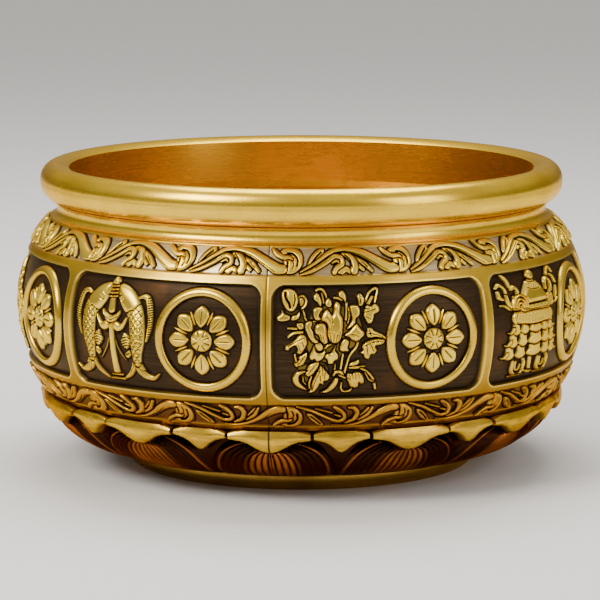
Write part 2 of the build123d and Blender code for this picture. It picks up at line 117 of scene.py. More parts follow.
def through(points, steps, closed):
    """Catmull-Rom curve through the points, which may carry extra values."""
    p = np.array(points, float)
    count = len(p) if closed else len(p) - 1
    last = len(p) - 1
    rows = []
    for i in range(count):
        if closed:
            a, b, c, d = (p[(i + k) % len(p)] for k in (-1, 0, 1, 2))
        else:
            a, b, c, d = (p[min(max(i + k, 0), last)] for k in (-1, 0, 1, 2))
        t = np.linspace(0, 1, steps, endpoint=False)[:, None]
        square = (2 * a - 5 * b + 4 * c - d) * t**2
        cube = (3 * b - a - 3 * c + d) * t**3
        rows.append(0.5 * (2 * b + (c - a) * t + square + cube))
    if not closed:
        rows.append(p[-1:])
    return np.concatenate(rows)


def loop_depth(u, h, points):
    """Distance inside a closed smooth outline; negative outside it."""
    loop = through(points, CURVE_STEPS, True)
    near = np.full(u.shape, 1e9)
    inside = np.zeros(u.shape, bool)
    for (x0, y0), (x1, y1) in zip(loop, np.roll(loop, -1, axis=0)):
        dx, dy = x1 - x0, y1 - y0
        t = np.clip(((u - x0) * dx + (h - y0) * dy) / max(dx * dx + dy * dy, 1e-9), 0, 1)
        near = np.minimum(near, np.hypot(u - x0 - t * dx, h - y0 - t * dy))
        if y0 != y1:
            crosses = (y0 > h) != (y1 > h)
            inside ^= crosses & (u < x0 + (h - y0) / (y1 - y0) * dx)
    return np.where(inside, near, -near)


def strip_depth(u, h, route):
    """Distance inside a cord of changing width; its points are u, h, width."""
    line = through(route, CURVE_STEPS, False)
    depth = np.full(u.shape, -1e9)
    for (x0, y0, w0), (x1, y1, w1) in zip(line, line[1:]):
        dx, dy = x1 - x0, y1 - y0
        t = np.clip(((u - x0) * dx + (h - y0) * dy) / max(dx * dx + dy * dy, 1e-9), 0, 1)
        away = np.hypot(u - x0 - t * dx, h - y0 - t * dy)
        depth = np.maximum(depth, (w0 + (w1 - w0) * t) / 2 - away)
    return depth


# ---------------------------------------------------------------- relief canvas
class Canvas:
    """Height field of one relief ornament over local u (right) and h (up)."""

    def __init__(self, low, high, cell=MOTIF_CELL):
        self.cell = cell
        across = np.arange(low[0], high[0] + cell, cell)
        up = np.arange(low[1], high[1] + cell, cell)
        self.u, self.h = np.meshgrid(across, up)
        self.top = np.zeros(self.u.shape)
        self.depth = np.full(self.u.shape, -9.0)
        self.dirt = np.zeros(self.u.shape)

    def window(self, points):
        """Slice of the canvas around some points."""
        p = np.array(points, float)
        wide = p[:, 2].max() if p.shape[1] > 2 else 0.0
        low = p[:, :2].min(axis=0) - WINDOW_MARGIN - wide
        high = p[:, :2].max(axis=0) + WINDOW_MARGIN + wide
        c0, c1 = (int((x - self.u[0, 0]) / self.cell) for x in (low[0], high[0]))
        r0, r1 = (int((y - self.h[0, 0]) / self.cell) for y in (low[1], high[1]))
        return slice(max(r0, 0), max(r1 + 2, 1)), slice(max(c0, 0), max(c1 + 2, 1))

    def lay(self, area, depth, rise, edge):
        """Put a shape in front: a rounded top, and a groove cut round it."""
        t = np.clip(depth / edge, 0, 1)
        dome = ROOT + (rise - ROOT) * np.sqrt(1 - np.square(1 - t))
        kept = self.top[area] * smoothstep(0.0, GROOVE, -depth)
        self.top[area] = np.where(depth > 0, dome, kept)
        self.dirt[area] = np.where(depth > 0, 0.0, self.dirt[area])
        self.depth[area] = np.maximum(self.depth[area], depth)

    def blob(self, *points, rise, edge, veins=(), vein_width=0.22):
        """Rounded shape with a smooth outline through the points, and engraved veins."""
        area = self.window(points)
        depth = loop_depth(self.u[area], self.h[area], points) + 0.12
        self.lay(area, depth, rise, edge)
        for vein in veins:
            self.cut(*vein, width=vein_width, deep=0.45)

    def strip(self, *route, rise, edge):
        """Rounded cord through points of u, h and width."""
        area = self.window(route)
        self.lay(area, strip_depth(self.u[area], self.h[area], route), rise, edge)

    def cut(self, *points, width, deep):
        """Engrave a line along the points, and darken it."""
        area = self.window(points)
        route = through(points, CURVE_STEPS, False)
        away = np.full(self.u[area].shape, 9.0)
        for (x0, y0), (x1, y1) in zip(route, route[1:]):
            dx, dy = x1 - x0, y1 - y0
            t = ((self.u[area] - x0) * dx + (self.h[area] - y0) * dy) / max(dx * dx + dy * dy, 1e-9)
            t = np.clip(t, 0, 1)
            away = np.minimum(away, np.hypot(self.u[area] - x0 - t * dx, self.h[area] - y0 - t * dy))
        line = np.exp(-np.square(away / width))
        self.top[area] = np.maximum(self.top[area] - deep * line, 0.05)
        self.dirt[area] = np.maximum(self.dirt[area], line)


# ---------------------------------------------------------------- mesh helpers
def new_piece(name, points, faces, nodes, material, attributes=None, sharp=50.0):
    """Object from millimetre points, on the root body, standing for CAD nodes."""
    mesh = bpy.data.meshes.new(name)
    mesh.from_pydata((np.asarray(points) * MM).tolist(), [], [tuple(face) for face in faces])
    mesh.validate()
    for key, values in (attributes or {}).items():
        layer = mesh.attributes.new(key, "FLOAT", "POINT")
        layer.data.foreach_set("value", np.ascontiguousarray(values, np.float32))
    mesh.polygons.foreach_set("use_smooth", np.ones(len(mesh.polygons), bool))
    mesh.set_sharp_from_angle(angle=math.radians(sharp))
    mesh.materials.append(material)
    piece = bpy.data.objects.new(name, mesh)
    bpy.context.collection.objects.link(piece)
    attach(piece, "root")
    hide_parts(*nodes)
    return piece


def around(radius, height, azimuth):
    """Points from radius, height and azimuth in degrees."""
    a = np.radians(azimuth)
    return np.stack([radius * np.sin(a), -radius * np.cos(a), height + 0 * a], axis=-1)


def grid_faces(rows, columns, start=0, wrap=False):
    """Quads of a grid of points stored row by row."""
    r, c = np.meshgrid(np.arange(rows - 1), np.arange(columns if wrap else columns - 1), indexing="ij")
    nxt = (c + 1) % columns
    low = r * columns
    high = low + columns
    quads = np.stack([low + c, low + nxt, high + nxt, high + c], axis=-1)
    return (quads.reshape(-1, 4) + start).tolist()


def lathe(name, profile, nodes, material, segments=480):
    """Closed ring turned from a closed section of radius and height points."""
    p = np.array(profile, float)
    azimuth = np.arange(segments) * 360.0 / segments
    grid = around(p[:, None, 0], p[:, None, 1], azimuth[None, :])
    points = grid.reshape(-1, 3)
    faces = grid_faces(len(p), segments, wrap=True)
    last = (len(p) - 1) * segments
    columns = np.arange(segments)
    nxt = (columns + 1) % segments
    faces += np.stack([last + columns, last + nxt, nxt, columns], axis=-1).tolist()
    return new_piece(name, points, faces, nodes, material, sharp=28.0)


def arc_points(start, middle, end, count):
    """Points on the circle through three points, without the last one."""
    (x0, y0), (x1, y1), (x2, y2) = start, middle, end
    d = 2 * (x0 * (y1 - y2) + x1 * (y2 - y0) + x2 * (y0 - y1))
    s0, s1, s2 = x0**2 + y0**2, x1**2 + y1**2, x2**2 + y2**2
    cx = (s0 * (y1 - y2) + s1 * (y2 - y0) + s2 * (y0 - y1)) / d
    cy = (s0 * (x2 - x1) + s1 * (x0 - x2) + s2 * (x1 - x0)) / d
    radius = math.hypot(x0 - cx, y0 - cy)
    a0, a1, a2 = (math.atan2(y - cy, x - cx) for x, y in (start, middle, end))
    sweep = (a2 - a0) % (2 * math.pi)
    if (a1 - a0) % (2 * math.pi) > sweep:
        sweep -= 2 * math.pi
    t = np.linspace(0, 1, count, endpoint=False)
    return [(cx + radius * math.cos(a0 + sweep * v), cy + radius * math.sin(a0 + sweep * v)) for v in t]


def chain(*points, step=1.2):
    """Straight runs between points, divided so that no edge is long."""
    out = []
    for (x0, y0), (x1, y1) in zip(points, points[1:]):
        count = max(int(math.hypot(x1 - x0, y1 - y0) / step), 1)
        for k in range(count):
            out.append((x0 + (x1 - x0) * k / count, y0 + (y1 - y0) * k / count))
    return out


# ---------------------------------------------------------------- materials
WARM_EDGE = (1.0, 0.80, 0.50, 1.0)      # tint of the reflections at grazing angles
COPPER_EDGE = (0.75, 0.45, 0.28, 1.0)
DARK_ROOT = (0.02, 0.012, 0.008)
# Painted shade for creases and corners, also the dark of the seam joint.
SHADE_AND_SEAM_DARK = (0.012, 0.008, 0.006)
WORN_EDGE = (0.90, 0.66, 0.14)
LOTUS_INSIDE = (0.62, 0.36, 0.06)


def node(tree, kind, **sockets):
    made = tree.nodes.new(kind)
    for key, value in sockets.items():
        made.inputs[key.replace("_", " ")].default_value = value
    return made


def math_node(tree, operation, first, second=None, clamp=False):
    made = tree.nodes.new("ShaderNodeMath")
    made.operation = operation
    made.use_clamp = clamp
    for index, value in enumerate((first, second)):
        if value is None:
            continue
        if isinstance(value, (int, float)):
            made.inputs[index].default_value = value
        else:
            tree.links.new(value, made.inputs[index])
    return made.outputs[0]


def weighted(tree, first, share, second, other):
    """Sum of two values, each times its share."""
    return math_node(tree, "ADD", math_node(tree, "MULTIPLY", first, share),
                     math_node(tree, "MULTIPLY", second, other))


def blend_colour(tree, factor, first, second, mode="MIX"):
    made = tree.nodes.new("ShaderNodeMix")
    made.data_type = "RGBA"
    made.blend_type = mode
    for socket, value in ((made.inputs[0], factor), (made.inputs[6], first), (made.inputs[7], second)):
        if isinstance(value, (int, float)):
            socket.default_value = value
        elif isinstance(value, tuple):
            socket.default_value = (*value, 1.0)
        else:
            tree.links.new(value, socket)
    return made.outputs[2]


def ramp(tree, factor, low, high):
    made = tree.nodes.new("ShaderNodeMapRange")
    made.interpolation_type = "SMOOTHSTEP"
    made.inputs["From Min"].default_value = low
    made.inputs["From Max"].default_value = high
    tree.links.new(factor, made.inputs["Value"])
    return made.outputs["Result"]


def noise(tree, vector, scale, detail=3.0, roughness=0.55):
    made = node(tree, "ShaderNodeTexNoise", Scale=scale, Detail=detail, Roughness=roughness)
    tree.links.new(vector, made.inputs["Vector"])
    return made.outputs["Fac"]


def streak_vector(tree, across, radial=0.0):
    """Coordinates in which noise runs in turned lines; also the plain ones, and the height."""
    position = tree.nodes.new("ShaderNodeTexCoord").outputs["Object"]
    split = tree.nodes.new("ShaderNodeSeparateXYZ")
    tree.links.new(position, split.inputs[0])
    x, y, z = split.outputs
    squares = math_node(tree, "ADD", math_node(tree, "MULTIPLY", x, x), math_node(tree, "MULTIPLY", y, y))
    radius = math_node(tree, "SQRT", squares)
    level = math_node(tree, "ADD", z, math_node(tree, "MULTIPLY", radius, radial))
    made = tree.nodes.new("ShaderNodeCombineXYZ")
    tree.links.new(x, made.inputs[0])
    tree.links.new(y, made.inputs[1])
    tree.links.new(math_node(tree, "MULTIPLY", level, across), made.inputs[2])
    return made.outputs[0], position, z


def attribute(tree, name):
    made = tree.nodes.new("ShaderNodeAttribute")
    made.attribute_name = name
    return made.outputs["Fac"]


def metal(name, bright, dull, rough, streaks, root_range=None, painted_low_shade=None, grain=0.02, radial=0.0):
    """Brass: turned streaks, patches of tarnish, dark roots where the level is low, and, where asked,
    painted shade with a painted warm reflection towards the bottom.
    """
    material = bpy.data.materials.new(name)
    material.use_nodes = True
    tree = material.node_tree
    shader = tree.nodes["Principled BSDF"]
    shader.inputs["Metallic"].default_value = 1.0
    shader.inputs["Specular Tint"].default_value = WARM_EDGE
    lines, position, height = streak_vector(tree, 40.0, radial)
    streak = noise(tree, lines, 45.0, 4.0, 0.6)
    patch = noise(tree, position, 55.0, 4.0, 0.6)
    fine = noise(tree, position, 1400.0, 3.0, 0.6)
    colour = blend_colour(tree, ramp(tree, patch, 0.35, 0.72), bright, dull)
    streaky = blend_colour(tree, ramp(tree, streak, 0.3, 0.75), bright, dull)
    shade = blend_colour(tree, streaks, colour, streaky)
    # Painted shade and painted warm reflection: below the given heights the colour is multiplied by a
    # darker, warmer tint.
    if painted_low_shade:
        tint, low, high = painted_low_shade
        low_shaded = blend_colour(tree, 1.0, shade, tint, "MULTIPLY")
        shade = blend_colour(tree, ramp(tree, height, high, low), shade, low_shaded)
    shine = tree.nodes.new("ShaderNodeMapRange")
    shine.inputs["To Min"].default_value = rough[0]
    shine.inputs["To Max"].default_value = rough[1]
    tree.links.new(weighted(tree, patch, 0.6, streak, 0.4), shine.inputs["Value"])
    roughness = shine.outputs["Result"]
    if root_range:
        uneven = math_node(tree, "MULTIPLY", math_node(tree, "SUBTRACT", patch, 0.5), 0.25)
        worn = math_node(tree, "ADD", attribute(tree, "level"), uneven)
        lit = ramp(tree, worn, *root_range)
        shade = blend_colour(tree, lit, DARK_ROOT, shade)
        dullness = math_node(tree, "MULTIPLY", math_node(tree, "SUBTRACT", 1.0, lit), 0.2)
        roughness = math_node(tree, "ADD", roughness, dullness, clamp=True)
    tree.links.new(shade, shader.inputs["Base Color"])
    tree.links.new(roughness, shader.inputs["Roughness"])
    bump = node(tree, "ShaderNodeBump", Strength=0.35, Distance=grain * MM)
    tree.links.new(weighted(tree, fine, 0.5, streak, 1.0), bump.inputs["Height"])
    tree.links.new(bump.outputs["Normal"], shader.inputs["Normal"])
    return material


def shell_metal():
    """Belly: satin gold frame with painted shade towards the bottom, dark brown panel floors, tinted band
    grounds, gilt inside, and painted shade in the pockets' inner corners.
    """
    material = metal("antique_brass", (0.66, 0.41, 0.034), (0.46, 0.265, 0.018), (0.24, 0.42), 0.45,
                     painted_low_shade=((0.54, 0.43, 0.42), 0.034, 0.060), grain=0.03)
    tree = material.node_tree
    shader = tree.nodes["Principled BSDF"]
    frame_colour = shader.inputs["Base Color"].links[0].from_socket
    frame_rough = shader.inputs["Roughness"].links[0].from_socket
    lines, position, height = streak_vector(tree, 30.0)
    streak = noise(tree, lines, 60.0, 4.0, 0.6)
    patch = noise(tree, position, 38.0, 5.0, 0.6)
    dark = blend_colour(tree, ramp(tree, streak, 0.35, 0.7), (0.018, 0.010, 0.005), (0.042, 0.022, 0.010))
    dark = blend_colour(tree, ramp(tree, patch, 0.52, 0.72), dark, (0.075, 0.030, 0.009))
    high_ground = blend_colour(tree, ramp(tree, streak, 0.3, 0.7), (0.40, 0.29, 0.15), (0.56, 0.42, 0.23))
    low_ground = blend_colour(tree, ramp(tree, patch, 0.3, 0.7), (0.15, 0.058, 0.016),
                              (0.085, 0.030, 0.009))
    band = blend_colour(tree, ramp(tree, height, 0.050, 0.080), low_ground, high_ground)
    colour = blend_colour(tree, attribute(tree, "ground"), frame_colour, band)
    colour = blend_colour(tree, attribute(tree, "sunk"), colour, dark)
    # Painted shade in the pockets' inner corners and along the belly's bottom edge; on the seam the same
    # dark is the real joint.
    colour = blend_colour(tree, attribute(tree, "crease"), colour, SHADE_AND_SEAM_DARK)
    colour = blend_colour(tree, attribute(tree, "worn"), colour, WORN_EDGE)
    inside = blend_colour(tree, ramp(tree, streak, 0.3, 0.75), (0.86, 0.60, 0.07), (0.74, 0.48, 0.04))
    colour = blend_colour(tree, attribute(tree, "inside"), colour, inside)
    tree.links.new(colour, shader.inputs["Base Color"])
    sheen = math_node(tree, "SUBTRACT", 1.0, math_node(tree, "MULTIPLY", attribute(tree, "sunk"), 0.25))
    tree.links.new(sheen, shader.inputs["Metallic"])
    duller = math_node(tree, "MULTIPLY", attribute(tree, "sunk"), 0.08)
    rough = math_node(tree, "ADD", frame_rough, duller, clamp=True)
    tree.links.new(rough, shader.inputs["Roughness"])
    return material


TURNED = metal("turned_brass", (0.91, 0.60, 0.045), (0.64, 0.38, 0.026), (0.20, 0.34), 0.55, grain=0.05,
               radial=1.3)
ANTIQUE = shell_metal()
# Relief brass; its colour gets painted shade and a painted warm reflection lower down the bowl.
RELIEF = metal("relief_brass", (0.90, 0.64, 0.075), (0.68, 0.44, 0.04), (0.22, 0.38), 0.2,
               root_range=(0.15, 0.6), painted_low_shade=((0.64, 0.46, 0.36), 0.036, 0.054))
MEDALLION = metal("medallion_brass", (0.80, 0.54, 0.06), (0.60, 0.37, 0.03), (0.20, 0.34), 0.3,
                  root_range=(0.1, 0.45))
# The foot's brass is darkened with painted shade, for the shadow it stands in.
SHADED_FOOT = metal("foot_brass", (0.46, 0.27, 0.045), (0.22, 0.10, 0.018), (0.26, 0.44), 0.5, grain=0.05)
BASE = metal("base_brass", (0.74, 0.40, 0.06), (0.60, 0.30, 0.04), (0.30, 0.48), 0.3, radial=1.0)


def lotus_metal():
    """Bright worn lips over dark patinated ribs with copper ridges; the ridges carry painted highlight
    and painted shade.
    """
    material = metal("lotus_brass", (0.76, 0.48, 0.045), (0.42, 0.23, 0.02), (0.24, 0.42), 0.4,
                     grain=0.04)
    tree = material.node_tree
    shader = tree.nodes["Principled BSDF"]
    bright = shader.inputs["Base Color"].links[0].from_socket
    lines, position, _ = streak_vector(tree, 5.0)
    patch = noise(tree, position, 90.0, 4.0, 0.6)
    copper = blend_colour(tree, ramp(tree, patch, 0.35, 0.7), (0.40, 0.125, 0.028), (0.20, 0.062, 0.015))
    # The ridge mask is patina in the grooves and valleys, plus painted highlight and painted shade across
    # each petal.
    body = blend_colour(tree, ramp(tree, attribute(tree, "ridge"), 0.32, 0.90),
                        (0.030, 0.010, 0.004), copper)
    lip = attribute(tree, "lip")
    speck = noise(tree, lines, 210.0, 6.0, 0.75)
    worn = blend_colour(tree, ramp(tree, speck, 0.46, 0.80), bright, (0.20, 0.10, 0.014))
    worn = blend_colour(tree, ramp(tree, lip, 0.75, 1.0), (0.26, 0.13, 0.018), worn)
    colour = blend_colour(tree, ramp(tree, lip, 0.30, 0.65), body, worn)
    shader.inputs["Specular Tint"].default_value = COPPER_EDGE
    colour = blend_colour(tree, attribute(tree, "inside"), colour, LOTUS_INSIDE)
    tree.links.new(colour, shader.inputs["Base Color"])
    return material


LOTUS = lotus_metal()


# ---------------------------------------------------------------- turned pieces
def make_rim():
    """Thick rolled rim with its counterbore."""
    bore = RIM_BORE
    seat = RIM_LOW + RIM_SEAT
    equator = (RIM_RADIUS, RIM_LOW + 0.52 * (RIM_CROWN - RIM_LOW))
    bottom = (RIM_RADIUS - 4.8, RIM_LOW)
    top = (bore + 6.0, RIM_CROWN)
    inside = (bore, RIM_CROWN - 1.9)
    profile = arc_points(bottom, (equator[0] - 1.3, RIM_LOW + 2.64), equator, 18)
    profile += arc_points(equator, (equator[0] - 1.2, RIM_CROWN - 2.4), top, 22)
    profile += arc_points(top, (bore + 2.6, RIM_CROWN - 0.6), inside, 12)
    profile += chain(inside, (bore, seat), (bore + SLEEVE + 0.1, seat),
                     (bore + SLEEVE + 0.1, RIM_LOW), bottom)
    return lathe("rim_roll_turned", profile, ["rim_roll"], TURNED)


def make_neck():
    """Coved neck with its sleeve; the bore flares out at the bottom."""
    bore = RIM_BORE
    outer = float(wall_radius(0.0, np.array(SHELL_HIGH)))
    lip = outer - 3.1
    flare = float(wall_radius(WALL, np.array(SEAT_HEIGHT)))
    profile = arc_points((outer, SHELL_HIGH), (outer - 2.2, SHELL_HIGH + 2.48),
                         (outer - 1.0, SHOULDER), 16)
    profile += chain((outer - 1.0, SHOULDER), (bore + SLEEVE, SHOULDER), (bore + SLEEVE, SLEEVE_TOP),
                     (bore, SLEEVE_TOP), (bore, SEAT_HEIGHT + 2.9), (flare, SEAT_HEIGHT),
                     (lip, SEAT_HEIGHT), (lip, SHELL_HIGH), (outer, SHELL_HIGH))
    return lathe("neck_ring_turned", profile, ["neck_ring"], TURNED)


def make_foot():
    """Plain swelling foot with softened edges."""
    outer = FOOT_OUTER
    inner = FOOT_INNER
    top = (FOOT_TOP, FOOT_HEIGHT)
    profile = arc_points((outer - 0.6, 0.0), (outer - 0.12, 0.14), (outer + 0.15, 0.6), 5)
    profile += arc_points((outer + 0.15, 0.6), (outer + 2.4, 0.6 * FOOT_HEIGHT), top, 14)
    profile += chain(top, (inner, FOOT_HEIGHT), (inner, 0.5), (inner + 0.5, 0.0), (outer - 0.6, 0.0))
    return lathe("foot_ring_turned", profile, ["foot_ring"], SHADED_FOOT, segments=360)


def make_plate():
    """Bottom of the bowl: a turned disc with faint lathe steps on its top."""
    high = FOOT_HEIGHT + PLATE
    rim = PLATE_RADIUS
    circles = 30
    top = [(rim, FOOT_HEIGHT), (rim, high - 0.8), (rim - 0.8, high)]
    for step in range(1, circles):
        top.append(((rim - 0.8) * (1 - step / circles), high - 0.06 * (1 - math.cos(step * 1.3))))
    under = [(0.4, FOOT_HEIGHT)] + [(r, FOOT_HEIGHT) for r in np.linspace(0.4, rim, 12)[1:-1]]
    segments = 240
    p = np.array(top + under)
    azimuth = np.arange(segments) * 360.0 / segments
    points = around(p[:, None, 0], p[:, None, 1], azimuth[None, :]).reshape(-1, 3)
    faces = grid_faces(len(top), segments, wrap=True)
    start = len(top) * segments
    faces.append([start - segments + c for c in range(segments)])
    faces.append([start + c for c in reversed(range(segments))])
    faces += grid_faces(len(under), segments, start, wrap=True)
    last = (len(p) - 1) * segments
    faces += [[last + c, last + (c + 1) % segments, (c + 1) % segments, c] for c in range(segments)]
    return new_piece("base_plate_turned", points, faces, ["base_plate"], BASE)


# ---------------------------------------------------------------- belly
def stations(low, high, marks, fine, coarse, reach):
    """Values from low to high, close together near each mark."""
    values = [low]
    while values[-1] < high - 1e-6:
        here = values[-1]
        gap = min(abs(here - m) for m in marks)
        step = fine if gap < reach else min(coarse, fine + 0.35 * (gap - reach) + 0.05)
        ahead = [m for m in marks if here + 1e-6 < m < here + 1.5 * step]
        values.append(min(ahead[0] if ahead else here + step, high))
    return np.array(values)


def pocket_edge(arc, height):
    """Distance inside a panel pocket with round corners; negative on the frame."""
    half_width = math.radians(PANEL_PITCH / 2) * BELLY_RADIUS - POST_HALF
    half_height = (PANEL[1] - PANEL[0]) / 2
    dx = np.abs(arc) - (half_width - PANEL_CORNER)
    dy = np.abs(height - PANEL_MIDDLE) - (half_height - PANEL_CORNER)
    outside = np.hypot(np.maximum(dx, 0), np.maximum(dy, 0))
    return PANEL_CORNER - outside - np.minimum(np.maximum(dx, dy), 0)


def shell_relief(azimuth, height):
    """Depth below the outer surface, and the masks that colour it."""
    local = (azimuth % PANEL_PITCH) - PANEL_PITCH / 2
    inside = pocket_edge(np.radians(local) * BELLY_RADIUS, height)
    sunk = smoothstep(-0.1, 0.95, inside)
    depth = PANEL_DEPTH * sunk
    ground = np.zeros(depth.shape)
    for low, high in (LOWER_BAND, UPPER_BAND):
        band = smoothstep(0.0, 0.6, height - low) * smoothstep(0.0, 0.6, high - height)
        depth = np.maximum(depth, BAND_DEPTH * band)
        ground = np.maximum(ground, band)
    # Painted shade: a dark band where each pocket's wall meets its floor.
    crease = smoothstep(0.45, 0.85, inside) * (1 - smoothstep(1.1, 2.3, inside))
    worn = smoothstep(-0.75, -0.2, inside) * (1 - smoothstep(0.0, 0.4, inside))
    ripple = 0.05 * np.sin(np.radians(azimuth) * 37) * np.sin(height * 0.9)
    depth = depth + (0.06 + ripple) * (1 - sunk) * (1 - ground) * smoothstep(0.0, 1.2, -inside)
    return depth, {"sunk": sunk, "ground": ground, "crease": crease * 0.9, "worn": worn * 0.75}


def half_shell(name, node_name, start, material, outer_rows, outer, inner, columns):
    """Closed half ring: outer skin, inner skin, edges and the two seam faces."""
    outside, masks = outer(columns[None, :] + start, outer_rows[:, None])
    inside = inner(columns[None, :] + start)
    rows, cols = outside.shape[:2]
    inner_count = inside.shape[0]
    points = np.concatenate([outside.reshape(-1, 3), inside.reshape(-1, 3)])
    offset = rows * cols
    faces = grid_faces(rows, cols)
    faces += [face[::-1] for face in grid_faces(inner_count, cols, offset)]
    top_out = (rows - 1) * cols
    top_in = offset + (inner_count - 1) * cols
    for c in range(cols - 1):
        faces.append([top_out + c, top_out + c + 1, top_in + c + 1, top_in + c])
        faces.append([c + 1, c, offset + c, offset + c + 1])
    for c in (0, cols - 1):
        ring = [r * cols + c for r in range(rows)]
        ring += [offset + r * cols + c for r in reversed(range(inner_count))]
        faces.append(ring if c == 0 else ring[::-1])
    extra = inner_count * cols
    plain = np.zeros(extra)
    attributes = {key: np.concatenate([value.reshape(-1), plain]) for key, value in masks.items()}
    attributes["inside"] = np.concatenate([np.zeros(offset), np.ones(extra)])
    return new_piece(name, points, faces, [node_name], material, attributes)


def make_shell():
    """The two half castings of the belly, with pockets, bands and the seam between them."""
    marks = [SHELL_LOW, *LOWER_BAND, PANEL[0], PANEL[1], *UPPER_BAND, SHELL_HIGH]
    marks += [PANEL[0] + PANEL_CORNER * 0.5, PANEL[1] - PANEL_CORNER * 0.5]
    rows = stations(SHELL_LOW, SHELL_HIGH, marks, 0.3, 2.0, 1.6)
    posts = [PANEL_PITCH * k for k in range(5)]
    marks = posts + [p + s * 1.9 for p in posts for s in (-1, 1)]
    columns = stations(0.0, 180.0, marks, 0.19, 1.3, 1.5)

    def outer(azimuth, height):
        depth, masks = shell_relief(azimuth + 0 * height, height + 0 * azimuth)
        seam = np.minimum(azimuth % 180, 180 - azimuth % 180) * math.pi / 180 * BELLY_RADIUS
        notch = 1 - smoothstep(0.0, SEAM_WIDTH, seam + 0 * height)
        depth = depth + 0.18 * notch
        masks["crease"] = np.maximum(masks["crease"], notch)
        # The seam is a real dark joint; the bottom edge, just above the lotus lips, is darkened as
        # painted shade.
        bottom = 1 - smoothstep(0.0, 0.4, height - SHELL_LOW + 0 * azimuth)
        masks["crease"] = np.maximum(masks["crease"], bottom * 0.8)
        return around(wall_radius(depth, height), height, azimuth + 0 * height), masks

    def inner(azimuth):
        levels = np.linspace(SHELL_LOW, SEAT_HEIGHT, 26)[:, None]
        skin = around(wall_radius(WALL, levels), levels, azimuth + 0 * levels)
        step_radius = float(wall_radius(0.0, np.array(SHELL_HIGH))) - 3.0
        ledge = np.array([[step_radius, SEAT_HEIGHT], [step_radius, SHELL_HIGH]])
        return np.concatenate([skin, around(ledge[:, :1], ledge[:, 1:], azimuth + 0 * ledge[:, :1])])

    half_shell("shell_right_cast", "shell_right", 0.0, ANTIQUE, rows, outer, inner,
               columns)
    half_shell("shell_left_cast", "shell_left", 180.0, ANTIQUE, rows, outer, inner,
               columns)


# ---------------------------------------------------------------- lotus base
LOTUS_FOOT = 68.0
LOTUS_INNER = 62.0
LOTUS_BEND = SHELL_LOW - 1.7
LOTUS_TOP = float(wall_radius(0.0, np.array(SHELL_LOW)))
PETAL_HALF = 15.0           # degrees from a petal's middle to its edge
WIDE_HALF = 8.85            # degrees, half of a wide lip
NARROW_HALF = 6.15
LIP_STAND = 2.7
RIB_SPRING = 12.0           # height from which the ribs bend towards the lip
RIBS = 8.5                  # ribs on each side of a petal


def lotus_skin(height):
    """Radius of the lotus base before its petals are carved."""
    drop = np.clip((LOTUS_BEND - height) / (LOTUS_BEND - FOOT_HEIGHT), 0, 1)
    return LOTUS_FOOT + (LOTUS_TOP - LOTUS_FOOT) * np.sqrt(1 - drop * drop)


def petal_ribs(arc, height):
    """Rib coordinate: 0 on a petal's centre line, 1 at its edge; ribs fall like a fountain.

    It is found by halving, between the widest and the narrowest rib that could pass here.
    """
    climb = np.maximum(height - RIB_SPRING, 0.0)
    foot = 1 - 0.14 * np.clip((RIB_SPRING - height) / 5.5, 0, 1) ** 1.3
    low = np.full(arc.shape, 0.01)
    high = np.full(arc.shape, 1.6)
    for _ in range(22):
        q = (low + high) / 2
        reach = (arc / (21.6 * foot * q)) ** 2.5 + (climb / (8.4 + 4.6 * q * q)) ** 2.5
        low = np.where(reach > 1, q, low)
        high = np.where(reach > 1, high, q)
    return (low + high) / 2


def lip_edges(arc_wide, arc_narrow):
    """Lower and upper edge heights of the wide and of the narrow lips."""
    wide_low = np.interp(
        arc_wide, [0, 1.5, 3, 5, 8, 10.5, 13, 15.4], [20.3, 20.4, 20.9, 21.9, 23.7, 24.5, 24.8, 25.2])
    wide_high = np.interp(arc_wide, [0, 8, 12, 14, 15.4], [29.4, 29.2, 28.8, 28.4, 27.9])
    thin_low = np.interp(arc_narrow, [0, 1, 2, 4, 6, 8, 10.6], [20.3, 20.6, 21.3, 23.1, 24.3, 24.9, 25.4])
    thin_high = np.interp(arc_narrow, [0, 5, 8, 9.5, 10.6], [29.2, 29.0, 28.6, 28.2, 27.8])
    return wide_low, wide_high, thin_low, thin_high


